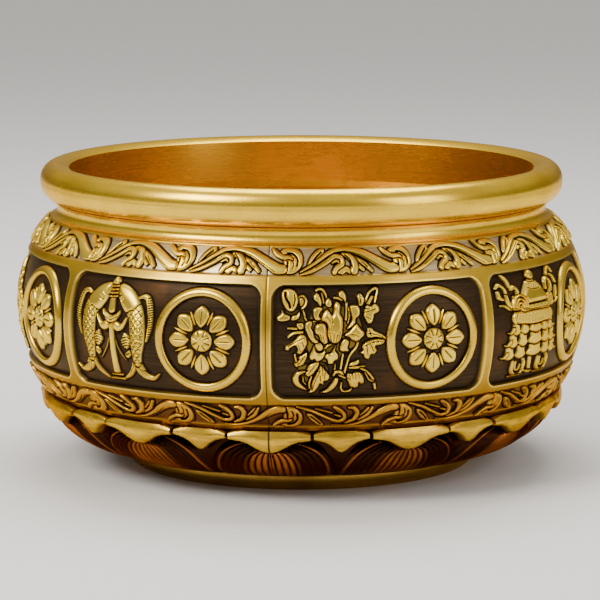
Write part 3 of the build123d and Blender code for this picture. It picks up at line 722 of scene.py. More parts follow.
def lotus_outer(azimuth, height):
    """Outer skin of the lotus base: ribbed petals, valleys, folded lips and the seam."""
    azimuth = azimuth + 0 * height
    height = height + 0 * azimuth
    skin = lotus_skin(height)
    from_wide = np.abs((azimuth + PETAL_HALF) % (2 * PETAL_HALF) - PETAL_HALF)
    from_narrow = PETAL_HALF - from_wide
    arc_at = np.radians(1.0) * skin
    rib = petal_ribs(from_wide * arc_at, height)
    wave = np.abs(np.cos(np.pi * rib * RIBS)) ** 0.75
    fade = smoothstep(FOOT_HEIGHT, FOOT_HEIGHT + 2.0, height)
    valley = smoothstep(0.97, 1.10, rib)
    carved = (1.15 * (1 - wave) * (1 - valley) + 3.0 * valley) * (0.35 + 0.65 * fade)
    bulge = np.clip(rib, 0, 1) ** 3
    lip_arc = np.radians(1.0) * LOTUS_TOP
    wide_low, wide_high, thin_low, thin_high = lip_edges(from_wide * lip_arc, from_narrow * lip_arc)
    wide = smoothstep(-0.1, 0.45, (WIDE_HALF - from_wide) * lip_arc)
    wide_in = smoothstep(-0.5, 0.45, height - wide_low) * smoothstep(-0.5, 0.3, wide_high - height) * wide
    thin = smoothstep(-0.1, 0.45, (NARROW_HALF - from_narrow) * lip_arc)
    thin_in = smoothstep(-0.5, 0.45, height - thin_low) * smoothstep(-0.5, 0.3, thin_high - height) * thin
    lip = np.maximum(wide_in, thin_in)
    low = np.where(wide_in > thin_in, wide_low, thin_low)
    high = np.where(wide_in > thin_in, wide_high, thin_high)
    t = np.clip((height - low) / np.maximum(high - low, 1.0), 0, 1)
    stand = LIP_STAND * np.where(wide_in > thin_in, 1.0, 0.8) * (0.62 + 0.38 * np.sin(math.pi * t ** 0.8))
    behind = smoothstep(low - 4.0, low, height)
    radius = skin - (carved + bulge + behind) * (1 - lip) + stand * lip
    near_top = smoothstep(SHELL_LOW - 1.2, SHELL_LOW - 0.2, height)
    radius = radius - near_top * (1 - lip) * 0.6
    seam = np.minimum(azimuth % 180, 180 - azimuth % 180) * arc_at
    notch = 1 - smoothstep(0.0, 0.4, seam)
    radius = radius - 0.25 * notch
    # Painted light: ridges get a painted highlight in each petal's middle and along its rim, painted
    # shade on its flanks, and painted shade just under the lips.
    bright = 1.0 - 0.72 * smoothstep(0.30, 0.60, rib) + 0.5 * smoothstep(0.88, 0.95, rib)
    ridge = wave * bright * (1 - valley) * (1 - 0.5 * smoothstep(low - 2.0, low, height))
    masks = {"lip": lip * (1 - notch * 0.9), "ridge": ridge * (1 - notch)}
    return around(radius, height, azimuth), masks


def lotus_inner_skin(azimuth):
    """Inner skin of the lotus base, down to the ledge round the base plate."""
    inner_top = float(wall_radius(WALL, np.array(SHELL_LOW)))
    angles = np.radians(np.linspace(-90, 0, 14))
    rise = LOTUS_BEND - FOOT_HEIGHT - PLATE
    section = [(LOTUS_INNER, FOOT_HEIGHT), (LOTUS_INNER, FOOT_HEIGHT + PLATE)]
    reach = inner_top - LOTUS_FOOT
    section += [(LOTUS_FOOT + reach * math.cos(a), LOTUS_BEND + rise * math.sin(a)) for a in angles]
    section.append((inner_top, SHELL_LOW))
    p = np.array(section)
    return around(p[:, :1], p[:, 1:], azimuth + 0 * p[:, :1])


def make_lotus():
    """The two half castings of the lotus base."""
    angles = np.linspace(0, 90, 84)
    curve = LOTUS_BEND - (LOTUS_BEND - FOOT_HEIGHT) * np.cos(np.radians(angles))
    rows = np.concatenate([curve[:-1], np.linspace(LOTUS_BEND, SHELL_LOW, 7)])
    columns = np.linspace(0, 180, 721)
    for side, start in (("right", 0.0), ("left", 180.0)):
        half_shell(f"lotus_{side}_cast", f"lotus_{side}", start, LOTUS, rows, lotus_outer,
                   lotus_inner_skin, columns)


# ---------------------------------------------------------------- relief pieces

def relief_mesh(name, canvas, place, nodes, material, rise):
    """Closed mesh of a canvas: rounded tops, a fillet at the root, a flat back."""
    depth, top = canvas.depth, canvas.top
    root = ROOT * np.square(np.clip(1 + depth / FILLET, 0, 1))
    height = np.where(depth > 0, np.maximum(top, 0.05), root)
    height = np.where(depth > -FILLET, height, -0.25)
    keep = depth > -FILLET - canvas.cell * 1.5
    cells = keep[:-1, :-1] & keep[1:, :-1] & keep[:-1, 1:] & keep[1:, 1:]
    used = np.zeros(keep.shape, bool)
    for rows, cols in ((slice(0, -1), slice(0, -1)), (slice(1, None), slice(0, -1)),
                       (slice(0, -1), slice(1, None)), (slice(1, None), slice(1, None))):
        used[rows, cols] |= cells
    index = np.full(keep.shape, -1)
    count = int(used.sum())
    index[used] = np.arange(count)
    u, h = canvas.u[used], canvas.h[used]
    points = np.concatenate([place(u, h, height[used]), place(u, h, np.full(count, -0.4))])
    a, b = index[:-1, :-1][cells], index[:-1, 1:][cells]
    c, d = index[1:, 1:][cells], index[1:, :-1][cells]
    faces = np.stack([a, b, c, d], axis=-1).tolist()
    faces += (np.stack([d, c, b, a], axis=-1) + count).tolist()
    padded = np.pad(cells, 1)
    inner = padded[1:-1, 1:-1]
    for shift, first, second in (((0, 1), a, b), ((2, 1), c, d), ((1, 0), d, a), ((1, 2), b, c)):
        neighbour = padded[shift[0]:shift[0] + cells.shape[0], shift[1]:shift[1] + cells.shape[1]]
        open_side = (inner & ~neighbour)[cells]
        p, q = first[open_side], second[open_side]
        faces += np.stack([q, p, p + count, q + count], axis=-1).tolist()
    level = np.clip(height[used] / rise, 0, 1) * (1 - 0.8 * canvas.dirt[used])
    attributes = {"level": np.concatenate([level, np.zeros(count)])}
    return new_piece(name, points, faces, nodes, material, attributes)


def on_panel(azimuth):
    """Placer for an ornament on a panel floor, centred at an azimuth."""
    def place(u, h, lift):
        height = h + PANEL_MIDDLE
        radius = wall_radius(PANEL_DEPTH - lift, height)
        forward = np.sqrt(radius * radius - u * u)
        a = math.radians(azimuth)
        x = forward * math.sin(a) + u * math.cos(a)
        y = -forward * math.cos(a) + u * math.sin(a)
        return np.stack([x, y, height], axis=-1)
    return place


def on_band(azimuth, middle):
    """Placer for a scroll wave, laid along the arc of its band."""
    def place(u, h, lift):
        height = h + middle
        radius = wall_radius(BAND_DEPTH - lift, height)
        angle = azimuth + np.degrees(u * (math.radians(SCROLL_PITCH) / DRAWN_PITCH))
        return around(radius, height, angle)
    return place


def draw_fish_pair():
    """Two upright fish with scales, either side of a ribboned staff."""
    c = Canvas((-21, -19), (21, 21))
    for side in (-1, 1):
        def flip(*points):
            return [(0.2 + side * p[0], *p[1:]) for p in points]
        c.strip(*flip((11.4, 13.4, 1.2), (13.6, 14.2, 1.7), (15.6, 13.2, 2.2), (16.8, 10, 2.2),
                (17.4, 6, 2), (16.9, 2, 1.6), (15.6, -1.8, 0.6)), rise=1.3, edge=0.6)
        for k in range(18):
            y = 13.6 - 0.85 * k
            lean = 1.2 * math.sin(k / 7)
            c.cut(*flip((15.6 + lean, y), (18.4 + lean, y + 0.7)), width=0.17, deep=0.6)
        c.strip(*flip((11.2, -9.8, 3), (12.2, -12.6, 3.6), (14.4, -14.6, 3), (17.2, -15.2, 1.8),
                (19.6, -13.6, 0.7)), rise=1.5, edge=1)
        c.strip(*flip((9.9, -9.8, 1.7), (8.6, -13, 1.8), (6.4, -15.2, 1.5), (3.4, -16.9, 0.6)), rise=1.4,
                edge=0.7)
        for k in range(5):
            c.cut(*flip((11 + 0.7 * k, -11.4 - 0.3 * k), (12.6 + 1.1 * k, -15.4 + 0.5 * k)), width=0.15,
                  deep=0.35)
        c.cut(*flip((9.6, -11.6), (7.4, -14.4)), width=0.15, deep=0.3)
        body = flip((1.9, 17), (3.4, 17.8), (7.4, 16.4), (10.8, 13.6), (13.6, 9.5), (14.9, 4), (14.6, -2),
                    (13.1, -7), (12.3, -11), (9.9, -11), (9.2, -7), (8.7, -2), (8.5, 2), (7.9, 6.2),
                    (5.4, 8.8), (3.2, 11.6), (2.2, 14.4))
        c.blob(*body, rise=2, edge=3.4)
        area = c.window(body)
        depth = loop_depth(c.u[area], c.h[area], body)
        u, h = (c.u[area] - 0.2) * side, c.h[area]
        gill = 9.2 + 0.55 * (u - 9) + 0.5 * np.cos((u - 9.5) * 0.8)
        row = h / 1.3
        part = np.floor(row)
        own, other = ((u / 2.1 + shift + 0.5 * (part % 2)) % 1 - 0.5 for shift in (0, 0.5))
        above = row - part - 3.4 * own * own
        under = above < 0
        above = np.where(under, row - part + 1 - 3.4 * other * other, above)
        left = np.where(under, part + 3.4 * own * own, part + 1 + 3.4 * other * other) - row
        scaly = smoothstep(0.1, 0.6, depth) * smoothstep(0, 0.6, gill - h) * smoothstep(-10.4, -9.6, h)
        seam = 1 - smoothstep(0.2, 0.48, left)
        c.top[area] -= (0.22 * above + 0.22 * seam) * scaly
        c.dirt[area] = np.maximum(c.dirt[area], seam * scaly)
        c.cut(*flip((13, 12), (10.6, 9.6), (8.4, 8.6), (6.4, 7.6)), width=0.24, deep=0.5)
        c.cut(*flip((2, 13.6), (3.4, 13.8), (4.4, 14.6)), width=0.2, deep=0.6)
        c.cut(*flip((4.3, 12.6), (4.8, 13.3), (5.5, 13.1), (5.6, 12.2), (4.9, 11.8), (4.3, 12.3)),
              width=0.2, deep=0.5)
        c.cut(*flip((9.4, -10.2), (12.8, -10)), width=0.2, deep=0.5)
        c.blob(*flip((6.2, 0.6), (8, -0.6), (8.6, -2.6), (7.4, -5), (5.6, -4.6), (4.6, -2.4),
               (5.4, -0.8)), rise=1.3, edge=0.7, veins=[flip((5, -1.6 - 1 * k), (7, -0.9 - 1 * k),
               (8.2, -1.4 - 0.9 * k)) for k in range(4)])
        c.blob(*flip((6.8, -6.4), (8, -5.8), (8.4, -7.4), (7, -8.6), (6, -7.4)), rise=1.1, edge=0.6,
               veins=[flip((6.4, -7.4), (8, -6.8))])
        c.strip(*flip((1.6, -2, 0.5), (2.6, -5, 0.55), (4.4, -7.8, 0.55), (6, -9.6, 0.4)), rise=0.8,
                edge=0.3)
        c.strip(*flip((1.4, 1.2, 0.5), (3, 0.6, 0.5), (4.6, 2, 0.4)), rise=0.7, edge=0.3)
        c.blob(*flip((1, 3.8), (1.2, 2), (3, 0.9), (5, 1.6), (6.4, 3.6), (7.4, 6.2), (6.6, 6), (4.6, 3.8),
               (2.6, 4.4)), rise=1.7, edge=1.2)
    c.strip((0.2, 4, 1.9), (0.6, -4, 2.2), (1.2, -14.6, 2.6), rise=1.7, edge=1)
    c.blob((-4, 8.4), (-2.6, 7.2), (0, 6.4), (2.6, 7.2), (4, 8.4), (3.6, 6.4), (1.8, 4.4), (0, 3.9),
           (-1.8, 4.4), (-3.6, 6.4), rise=1.9, edge=1.1, veins=[[(-3.2, 6.2), (0, 4.9), (3.2, 6.2)]])
    c.strip((0, 12.8, 2.2), (0, 8.6, 2.8), rise=1.7, edge=0.9)
    for k, wide in enumerate((3.9, 3.7, 3.5, 3.3)):
        y = 13.2 + 1.2 * k
        c.strip((0.3 - wide / 2 + 0.4, y - 0.15, 0.8), (0.3 + wide / 2 - 0.4, y + 0.15, 0.8), rise=1.6,
                edge=0.45)
    c.blob((-1.2, 17.8), (-1, 19), (0.2, 20.2), (1.6, 19.4), (1.8, 18.2), (0.4, 17.5), rise=1.9, edge=1)
    for half, y in ((2.2, -15.4), (3, -16.9)):
        c.strip((1.2 - half, y, 0.9), (1.2 + half, y + 0.1, 0.9), rise=1.5, edge=0.45)
    return c


def draw_peony():
    """Open bloom with buds, lobed leaves and a tied stem."""
    c = Canvas((-21, -20), (21, 21))
    draw_peony_stems(c)
    draw_peony_leaves(c)
    draw_peony_buds(c)
    draw_peony_bloom(c)
    return c


def draw_peony_stems(c):
    """Low ground between the petals, and the thin stems."""
    c.blob((-9, 6.6), (-6, 11.2), (-3, 13), (1, 14), (4, 12.8), (7.6, 12), (9.8, 8), (10.4, 3),
           (8.4, -0.6), (5.6, -2.4), (2, -6.2), (-2, -6.8), (-6.8, -5), (-9.2, -1), (-9.6, 3), rise=0.55,
           edge=0.5)
    c.blob((-16, 10.5), (-14, 12.2), (-10, 11), (-8, 7), (-10, 6.6), (-13, 8.6), rise=0.5, edge=0.5)
    c.blob((-12, -8.6), (-9, -7.6), (-5, -6.4), (-1.6, -9), (-2.6, -13.4), (-6, -15), (-9.6, -13.6),
           rise=0.5, edge=0.5)
    c.strip((9, 0.5, 1), (8.4, -1.5, 1), (6.2, -4.3, 0.9), (5.1, -7.6, 0.9), (4.3, -10.9, 1), rise=1.2,
            edge=0.45)
    c.strip((3.7, -4, 0.8), (3.4, -5.9, 0.9), (2.9, -9.5, 0.9), rise=1.1, edge=0.4)
    c.strip((-3.2, -8.4, 0.6), (-2.4, -10.9, 0.6), rise=1, edge=0.3)
    c.strip((1, -7.6, 0.6), (0.8, -9.6, 0.7), rise=0.9, edge=0.3)
    c.strip((-10.4, 11.9, 0.7), (-9.9, 10.2, 0.8), (-9.1, 8.2, 0.7), (-6, 8, 0.6), rise=1.1, edge=0.35)
    c.strip((5.1, 14.6, 1), (5, 11.3, 0.9), (4.7, 8.5, 1), rise=1.3, edge=0.45)


def draw_peony_leaves(c):
    """Lobed leaves, sprigs and the bow that ties the stem, from back to front."""
    c.strip((11.8, 14.6, 0.9), (13.2, 17.4, 0.9), (15.1, 18.8, 1), (16.3, 18.4, 1.1), (15.7, 15.7, 1),
            (15.1, 13.5, 0.9), rise=1.6, edge=0.45)
    c.strip((13, 13.8, 1.4), (14.4, 16, 1.2), rise=0.9, edge=0.6)
    c.blob((9, 16.3), (9.8, 17.3), (10.9, 16.6), (11.5, 15.2), (10.9, 13.5), (9.8, 13.2), (9.4, 14.6),
           rise=1.5, edge=0.7, veins=[[(10, 17), (10.2, 13.8)]])
    c.blob((12.1, 13), (14, 12.8), (15.1, 13.6), (16.3, 13.1), (17, 11.6), (16.2, 10.6), (15.1, 10.2),
           (14.8, 8.8), (14, 7.1), (12.6, 7), (11.8, 8.5), (11.2, 10.2), rise=1.8, edge=1,
           veins=[[(11.4, 10.8), (15.6, 12)], [(11.6, 12.2), (13.4, 12)], [(11.8, 9.6), (13.8, 8.4)]])
    c.blob((12.3, 4.1), (12.6, 5.2), (14, 5.2), (15.1, 4.1), (17.9, 2.7), (19.3, 1.1), (17.9, 1.6),
           (15.7, 2.1), (13.7, 1.9), (12.3, 2.4), rise=1.6, edge=0.7, veins=[[(12.8, 3.4), (15.6, 3),
           (18.2, 1.8)], [(13.2, 4.8), (13.8, 2.4)]])
    c.blob((10.7, -0.9), (12.3, 0.5), (15.7, 1.2), (18.6, 0.7), (17.9, -0.6), (15.4, -1.2), (15.9, -2.6),
           (15.2, -4), (13.7, -4.3), (12.9, -5.9), (11.5, -5.4), (10.9, -4), (9.8, -3.4), (10.9, -2.6),
           rise=1.9, edge=1, veins=[[(11, -1.2), (14.4, 0.2), (18.2, 0.4)], [(12.2, -0.8), (12.6, -4.4)],
           [(13.6, -0.4), (14.8, -3)], [(14.6, 0.9), (15, 0)], [(16.2, 0.9), (16.6, 0)]])
    c.blob((5.9, -8.1), (6.8, -7), (8.4, -6.5), (9.4, -6), (9.4, -7.3), (7.9, -8.1), rise=1.5, edge=0.6)
    c.strip((6.2, -8.9, 0.9), (9, -8.8, 1.1), (11.8, -8.4, 0.7), rise=1.5, edge=0.45)
    c.strip((10.1, -9.3, 0.8), (12.3, -10.4, 1), (14.6, -13.1, 1.1), (15.6, -17, 1.2), rise=1.6, edge=0.5)
    c.blob((5.1, -12), (5.7, -10.9), (6.8, -11.2), (8.4, -10.6), (10.1, -10.9), (11.2, -12.6),
           (11.5, -14.5), (10.4, -15.1), (9.6, -14.5), (9.3, -16.2), (7.6, -16.5), (6.5, -15.9),
           (5.9, -14.5), (5.4, -13.4), rise=1.8, edge=1, veins=[[(6.2, -11.2), (6.4, -12.6)], [(7.2, -11),
           (7.4, -12.8)], [(8.4, -10.8), (8.4, -13)], [(9.4, -10.9), (9.6, -12.6)], [(5.4, -12.4),
           (6.6, -13.4)]], vein_width=0.16)
    c.strip((11.8, -10.9, 0.6), (13.4, -13.7, 0.7), (15.1, -14.3, 0.6), rise=1.2, edge=0.35)
    c.strip((-15.7, 2.4, 0.9), (-13.8, 3.8, 1.1), (-10.7, 4.2, 0.9), rise=1.3, edge=0.45)
    c.strip((-15.7, 5.5, 0.8), (-12.7, 5.4, 0.9), rise=1.2, edge=0.4)
    c.blob((-12.7, 7), (-10.7, 7.3), (-10.4, 5.7), (-11.8, 5.3), rise=1.4, edge=0.6)
    c.blob((-16.8, -2), (-16.6, -0.9), (-14.9, -0.1), (-13.2, 1.6), (-11.8, 3), (-10.2, 3.2), (-9.3, 1.8),
           (-9.1, 0.2), (-9.6, -0.9), (-10.4, -2.3), (-11.6, -3.6), (-12.7, -3.1), (-12.4, -1.8),
           (-13.2, -0.6), (-14.9, -1.2), (-15.7, -2.4), rise=1.8, edge=1, veins=[[(-15.6, -0.8),
           (-12.8, 0.9), (-10, 2.2)], [(-12.2, -0.4), (-11.4, -2.8)], [(-11, 0.8), (-10.2, -1)]])
    c.blob((-12.9, -8.4), (-13.5, -7), (-11.8, -5.9), (-12, -4.8), (-10.7, -4), (-9.3, -3.1),
           (-9.1, -4.5), (-9.9, -6.5), (-10.7, -7.6), (-12.1, -8.1), rise=1.7, edge=0.8,
           veins=[[(-12.4, -7.6), (-10, -4.4)]])
    c.strip((-13.4, -3.9, 0.8), (-12.9, -6.2, 0.8), rise=1.2, edge=0.4)
    c.blob((-9.1, -9.3), (-8.2, -7.6), (-6.3, -6.8), (-4.9, -6.8), (-5.2, -8.4), (-6.3, -10.1),
           (-7.4, -11.5), (-8.8, -11.9), (-9.6, -10.6), (-8.5, -9.8), rise=1.7, edge=0.9,
           veins=[[(-8.6, -10.8), (-6.8, -8.6), (-5.6, -7.4)]])
    c.strip((-7.4, -12, 0.8), (-8.1, -14.3, 0.9), (-7.9, -16.3, 0.8), rise=1.3, edge=0.4)
    c.blob((-4.3, -7.9), (-2.9, -9.3), (-1.8, -10.6), (-1, -12), (-1.6, -13.4), (-2.9, -13.7),
           (-3.2, -15.1), (-4.3, -14.6), (-5.2, -16.5), (-6.6, -17.9), (-8.4, -18.1), (-7.2, -16.4),
           (-7.1, -14.3), (-6, -11.5), (-4.9, -9.8), rise=1.9, edge=1, veins=[[(-7.2, -17.2), (-6.2, -14),
           (-4.4, -9.6)], [(-3.6, -9), (-3.4, -11.6)], [(-2.6, -10.4), (-2.8, -12.8)], [(-4.4, -11.4),
           (-4.2, -13.6)]])
    c.strip((-9.9, -10.1, 0.9), (-12.2, -11, 1.8), (-13, -12.9, 2.4), (-12, -15, 2), (-9.1, -16.9, 0.7),
            rise=1.7, edge=0.9)
    c.strip((-10.4, -12, 0.6), (-10.2, -13.8, 0.6), (-9.2, -15, 0.5), rise=1.1, edge=0.3)
    c.strip((-3.8, -17.9, 0.6), (-1.6, -17.4, 1.6), (0.4, -15.4, 2.3), (1.5, -13.3, 1.8), rise=1.7,
            edge=0.9)
    c.strip((3.4, -14.3, 0.7), (3.2, -16.3, 0.9), (4, -17.7, 0.9), (6.2, -17.6, 1), (7.1, -16.6, 0.6),
            rise=1.3, edge=0.4)
    c.strip((0.4, -11.5, 0.9), (1.2, -10.4, 1.2), (2.9, -10.4, 1.2), (4, -12, 1), rise=1.7, edge=0.5)
    c.strip((2.4, -11.6, 0.7), (4.6, -12.6, 0.8), rise=1.5, edge=0.35)


def draw_peony_buds(c):
    """The large split bud with its sepals, and the small ones along the top."""
    c.blob((-17.7, 17.4), (-16.8, 18.7), (-14.9, 19.1), (-12.9, 18.3), (-11.9, 16.1), (-12.4, 13.5),
           (-13.8, 11.6), (-15.4, 11.6), (-16.8, 13), (-17.7, 15.2), rise=1.9, edge=2)
    c.cut((-16.4, 17.9), (-16.3, 16), (-15.3, 14.4), (-14.9, 12.8), width=0.42, deep=1.4)
    c.cut((-13.8, 13.2), (-13.2, 15.2), (-13.3, 17.2), width=0.26, deep=0.9)
    c.strip((-11.6, 16.3, 0.8), (-10.2, 16.7, 0.9), (-9.2, 15.2, 1.1), (-9.6, 13.5, 1),
            (-10.7, 12.5, 0.8), rise=1.4, edge=0.45)
    c.blob((-11.4, 15.8), (-10.2, 15.8), (-10.2, 14), (-11.2, 13.4), rise=0.9, edge=0.5)
    c.blob((-19.3, 8.2), (-19.6, 9.4), (-18.2, 10.5), (-17.7, 11.8), (-16.8, 10.5), (-15.2, 9.9),
           (-15.4, 8.5), (-17.7, 8), rise=1.7, edge=0.8)
    c.blob((-14.6, 8.5), (-14.1, 9.9), (-12.7, 10.2), (-11.6, 11.3), (-11.8, 9.4), (-13.2, 8.5), rise=1.6,
           edge=0.7)
    c.blob((-5.2, 17.7), (-6.4, 16.8), (-6.4, 15.5), (-5.2, 14.6), (-4.1, 13.2), (-3.8, 14.6),
           (-4.3, 16.2), rise=1.6, edge=0.7)
    c.strip((-5.6, 18.6, 0.9), (-4.4, 19.1, 1), (-3, 18.6, 1), (-2.2, 17.2, 0.9), (-1.9, 15.9, 0.7),
            rise=1.6, edge=0.45)
    c.strip((-3.6, 17.6, 0.6), (-3.2, 15.8, 0.7), (-3, 14.2, 0.6), rise=1.1, edge=0.3)
    c.blob((-2.4, 13.8), (-1.9, 15.5), (-1, 15.7), (-0.2, 14.4), (-0.7, 12.9), (-1.6, 13.1), rise=1.5,
           edge=0.7)
    c.blob((2.6, 18), (3.7, 18.4), (4.8, 17.4), (5.1, 15.7), (4.7, 14.4), (4, 15.5), (2.9, 16.2),
           (2.3, 17.1), rise=1.8, edge=0.9)
    c.strip((0.8, 16, 0.8), (2.2, 15.8, 0.9), (3.4, 15.2, 0.7), rise=1.2, edge=0.4)


def draw_peony_bloom(c):
    """Petals of the open flower, outer ones first."""
    c.blob((-9.6, 7.3), (-8.4, 8), (-7.1, 7.6), (-7.7, 5.7), (-6.9, 4.1), (-6.4, 2.1), (-4.9, 0.6),
           (-5.2, 0), (-7.1, 0.6), (-8.5, 2.4), (-9.2, 4.1), (-9.7, 5.5), rise=1.7, edge=0.8)
    c.strip((-6.9, 7.9, 0.6), (-4.8, 8.2, 0.7), (-4, 7.9, 0.5), rise=1.3, edge=0.3)
    c.blob((-6.7, 12.1), (-5.4, 12.8), (-3.5, 12.4), (-4.3, 11.3), (-4.9, 9.9), (-4.3, 8.6), (-6, 8.6),
           (-6.8, 10.2), rise=1.6, edge=0.8)
    c.blob((6.3, 13), (7.9, 13.3), (9.4, 12.8), (9.9, 11.3), (9.6, 9.9), (8.3, 8.8), (8.2, 7.4), (6.8, 6),
           (5, 5.2), (6.2, 6.8), (7, 8.5), (6.7, 10.8), rise=1.8, edge=1)
    c.strip((5.8, 12.4, 0.6), (6, 9.6, 0.7), (5.4, 7.2, 0.6), rise=1.1, edge=0.3)
    c.blob((4.3, 3), (6.2, 4.6), (8.4, 6.8), (9.8, 5.4), (11.1, 3.9), (11.2, 2.7), (9.6, 1.3), (8.4, 0.7),
           (6.8, 1.3), (5.9, 2.3), rise=1.9, edge=1.2, veins=[[(5.2, 3), (7.6, 3.2), (9.4, 2.2)]])
    c.blob((2.9, 0), (4, 1.6), (5.1, 1.4), (5.8, 0.5), (5.4, -1.2), (5.7, -2.6), (4.3, -2.9), (2.8, -2.6),
           (2.6, -1.5), rise=1.8, edge=1)
    c.blob((-6.5, -0.6), (-6.1, -2.6), (-4.9, -3.4), (-3.6, -3.1), (-2.7, -2.2), (-2.9, -4.3),
           (-4.1, -5.9), (-5.7, -6.3), (-6.4, -5.5), (-7.7, -5.8), (-8.2, -4.3), (-7.3, -2.3), rise=1.7,
           edge=0.9)
    c.blob((-6.2, -0.4), (-4.4, 0.2), (-3.4, -1.6), (-4.6, -2.6), (-5.6, -2), rise=1, edge=0.6)
    c.strip((-2.9, -1.8, 0.6), (-1.8, -0.6, 0.9), (-0.4, -0.2, 0.6), rise=1.6, edge=0.4)
    c.blob((1.2, -0.4), (0.8, -2.4), (1.8, -3.7), (1.9, -5.4), (0.7, -6.2), (-0.2, -7.3), (-1.6, -7.1),
           (-1.8, -5.9), (-2.8, -4.8), (-2, -3.7), (-0.6, -3.4), (0.2, -2), rise=1.7, edge=0.9)
    c.blob((-6.3, 5.7), (-5.4, 7), (-3.2, 7.2), (-2.4, 6), (-2.1, 3), (-1.8, 0.7), (-2.9, 0), (-4.3, 1.3),
           (-4.9, 3), (-6.1, 3.8), rise=1.9, edge=1.2, veins=[[(-3, 0.6), (-3.6, 3.2)], [(-4, 1.6),
           (-4.6, 4)]])
    c.blob((-1.8, 12), (-0.2, 10), (0.5, 11.6), (0.6, 13.4), (1.5, 14.6), (2.9, 13.5), (2.7, 10.7),
           (3.6, 8.5), (3.6, 5.2), (3.2, 2.7), (2.1, 0.7), (0.4, 0.2), (-1.1, 1.4), (-1.8, 3.5),
           (-1.6, 6), (-2.4, 7.7), (-3.9, 8.5), (-3.3, 10.7), rise=2, edge=1.6, veins=[[(-0.6, 1.2),
           (-1, 4.2)], [(0.3, 0.8), (0.4, 4)], [(1.2, 0.8), (1.6, 3.6)], [(2.1, 1.4), (2.6, 4.4)],
           [(-0.2, 9.6), (0, 7.2)]], vein_width=0.18)


def draw_banner():
    """Tasselled canopy: finial, bell, beaded belts, lappets, ribbons, flames."""
    c = Canvas((-21, -20), (21, 21.5))
    draw_banner_arms(c)
    for row in (2, 1, 0):
        high = 2 - 4.5 * row
        spread = 1 + 0.13 * row
        for middle, wide in ((-9.4, 3.8), (-4.4, 4), (2.4, 7), (8.4, 3.4), (12.2, 2.8)):
            u, w = 1.2 + (middle - 1.2) * spread, wide * spread
            c.blob((u - w * 0.3, high + 1), (u + w * 0.3, high + 1), (u + w * 0.4, high - 1.4),
                   (u + w * 0.56, high - 3), (u + w * 0.34, high - 4.1), (u, high - 4.5),
                   (u - w * 0.36, high - 3.9), (u - w * 0.54, high - 2.8), (u - w * 0.38, high - 1.2),
                   rise=1.4 + 0.12 * (2 - row), edge=1.1)
        for end in (-1, 1):
            tip = 1.2 + end * (11.6 + 1.4 * row)
            c.strip((tip, high - 2, 1.2), (tip + end * 1.6, high - 3.4, 1),
                    (tip + end * 3.2, high - 3.2, 0.5), rise=1.3, edge=0.5)
    c.blob((-9.6, 5.7), (1.2, 5.9), (12.3, 5.6), (12.8, 1.6), (7, 1), (1.2, 0.8), (-5, 1.4), (-10, 2.4),
           rise=1.8, edge=1.2)
    for k in range(-11, 14):
        c.cut((0.88 * k + 0.2, 5.2), (0.9 * k, 2.2), width=0.15, deep=0.25)
    c.strip((-9.9, 5.7, 0.8), (-10.8, 4.1, 0.9), (-10.2, 2.1, 0.8), rise=1.8, edge=0.4)
    c.blob((-5.4, 8.6), (1.2, 8.7), (11.6, 8.6), (12.2, 7.2), (11.8, 5.9), (1.2, 6), (-5.6, 6), rise=1.6,
           edge=0.5)
    for high in (6.5, 8.1):
        c.cut((-4, high), (4, high - 0.1), (11.8, high), width=0.16, deep=0.5)
    for k in range(6):
        for end in (-0.5, 0.5):
            c.cut((2.5 * k - 3.2 + end, 6.7), (2.5 * k - 3.2 + end, 7.9), width=0.2, deep=0.6)
    c.blob((-4.9, 11.6), (-2.7, 14.6), (-0.7, 16.4), (3, 16.8), (6.8, 14.8), (9, 12.4), (10.1, 10.7),
           (10.2, 8.7), (3, 8.5), (-2.7, 8.5), (-4.6, 9.7), rise=2, edge=2.2)
    c.cut((-1.4, 14.4), (1.2, 13.5), (5.6, 13.5), (7.2, 14.5), width=0.22, deep=0.5)
    c.cut((-0.6, 16.5), (1.8, 15.9), (4.4, 15.9), (6.2, 16.5), width=0.22, deep=0.5)
    for k in range(6):
        c.cut((0 + 1.2 * k, 14.2), (0.2 + 1.1 * k, 15.7), width=0.2, deep=0.5)
    c.blob((0.1, 18), (1.2, 19.8), (2.9, 20.1), (4, 19), (3.7, 17.3), (2.1, 16.9), rise=2, edge=1.2)
    for reach in (1.7, 3, 4.3):
        ring = [(-6.8 + reach * math.cos(t), 7.4 + 1.05 * reach * math.sin(t), 0.85)
                for t in (0, 0.75, 1.5, 2.25, 3)]
        c.strip(*ring, rise=1.9, edge=0.4)
    for k in range(3):
        c.strip((10.8 + 1.5 * k, 10.4, 0.8), (11.2 + 1.4 * k, 8.4, 0.9), (10.8 + 1.2 * k, 6.6, 0.8),
                rise=1.8, edge=0.4)
    return c


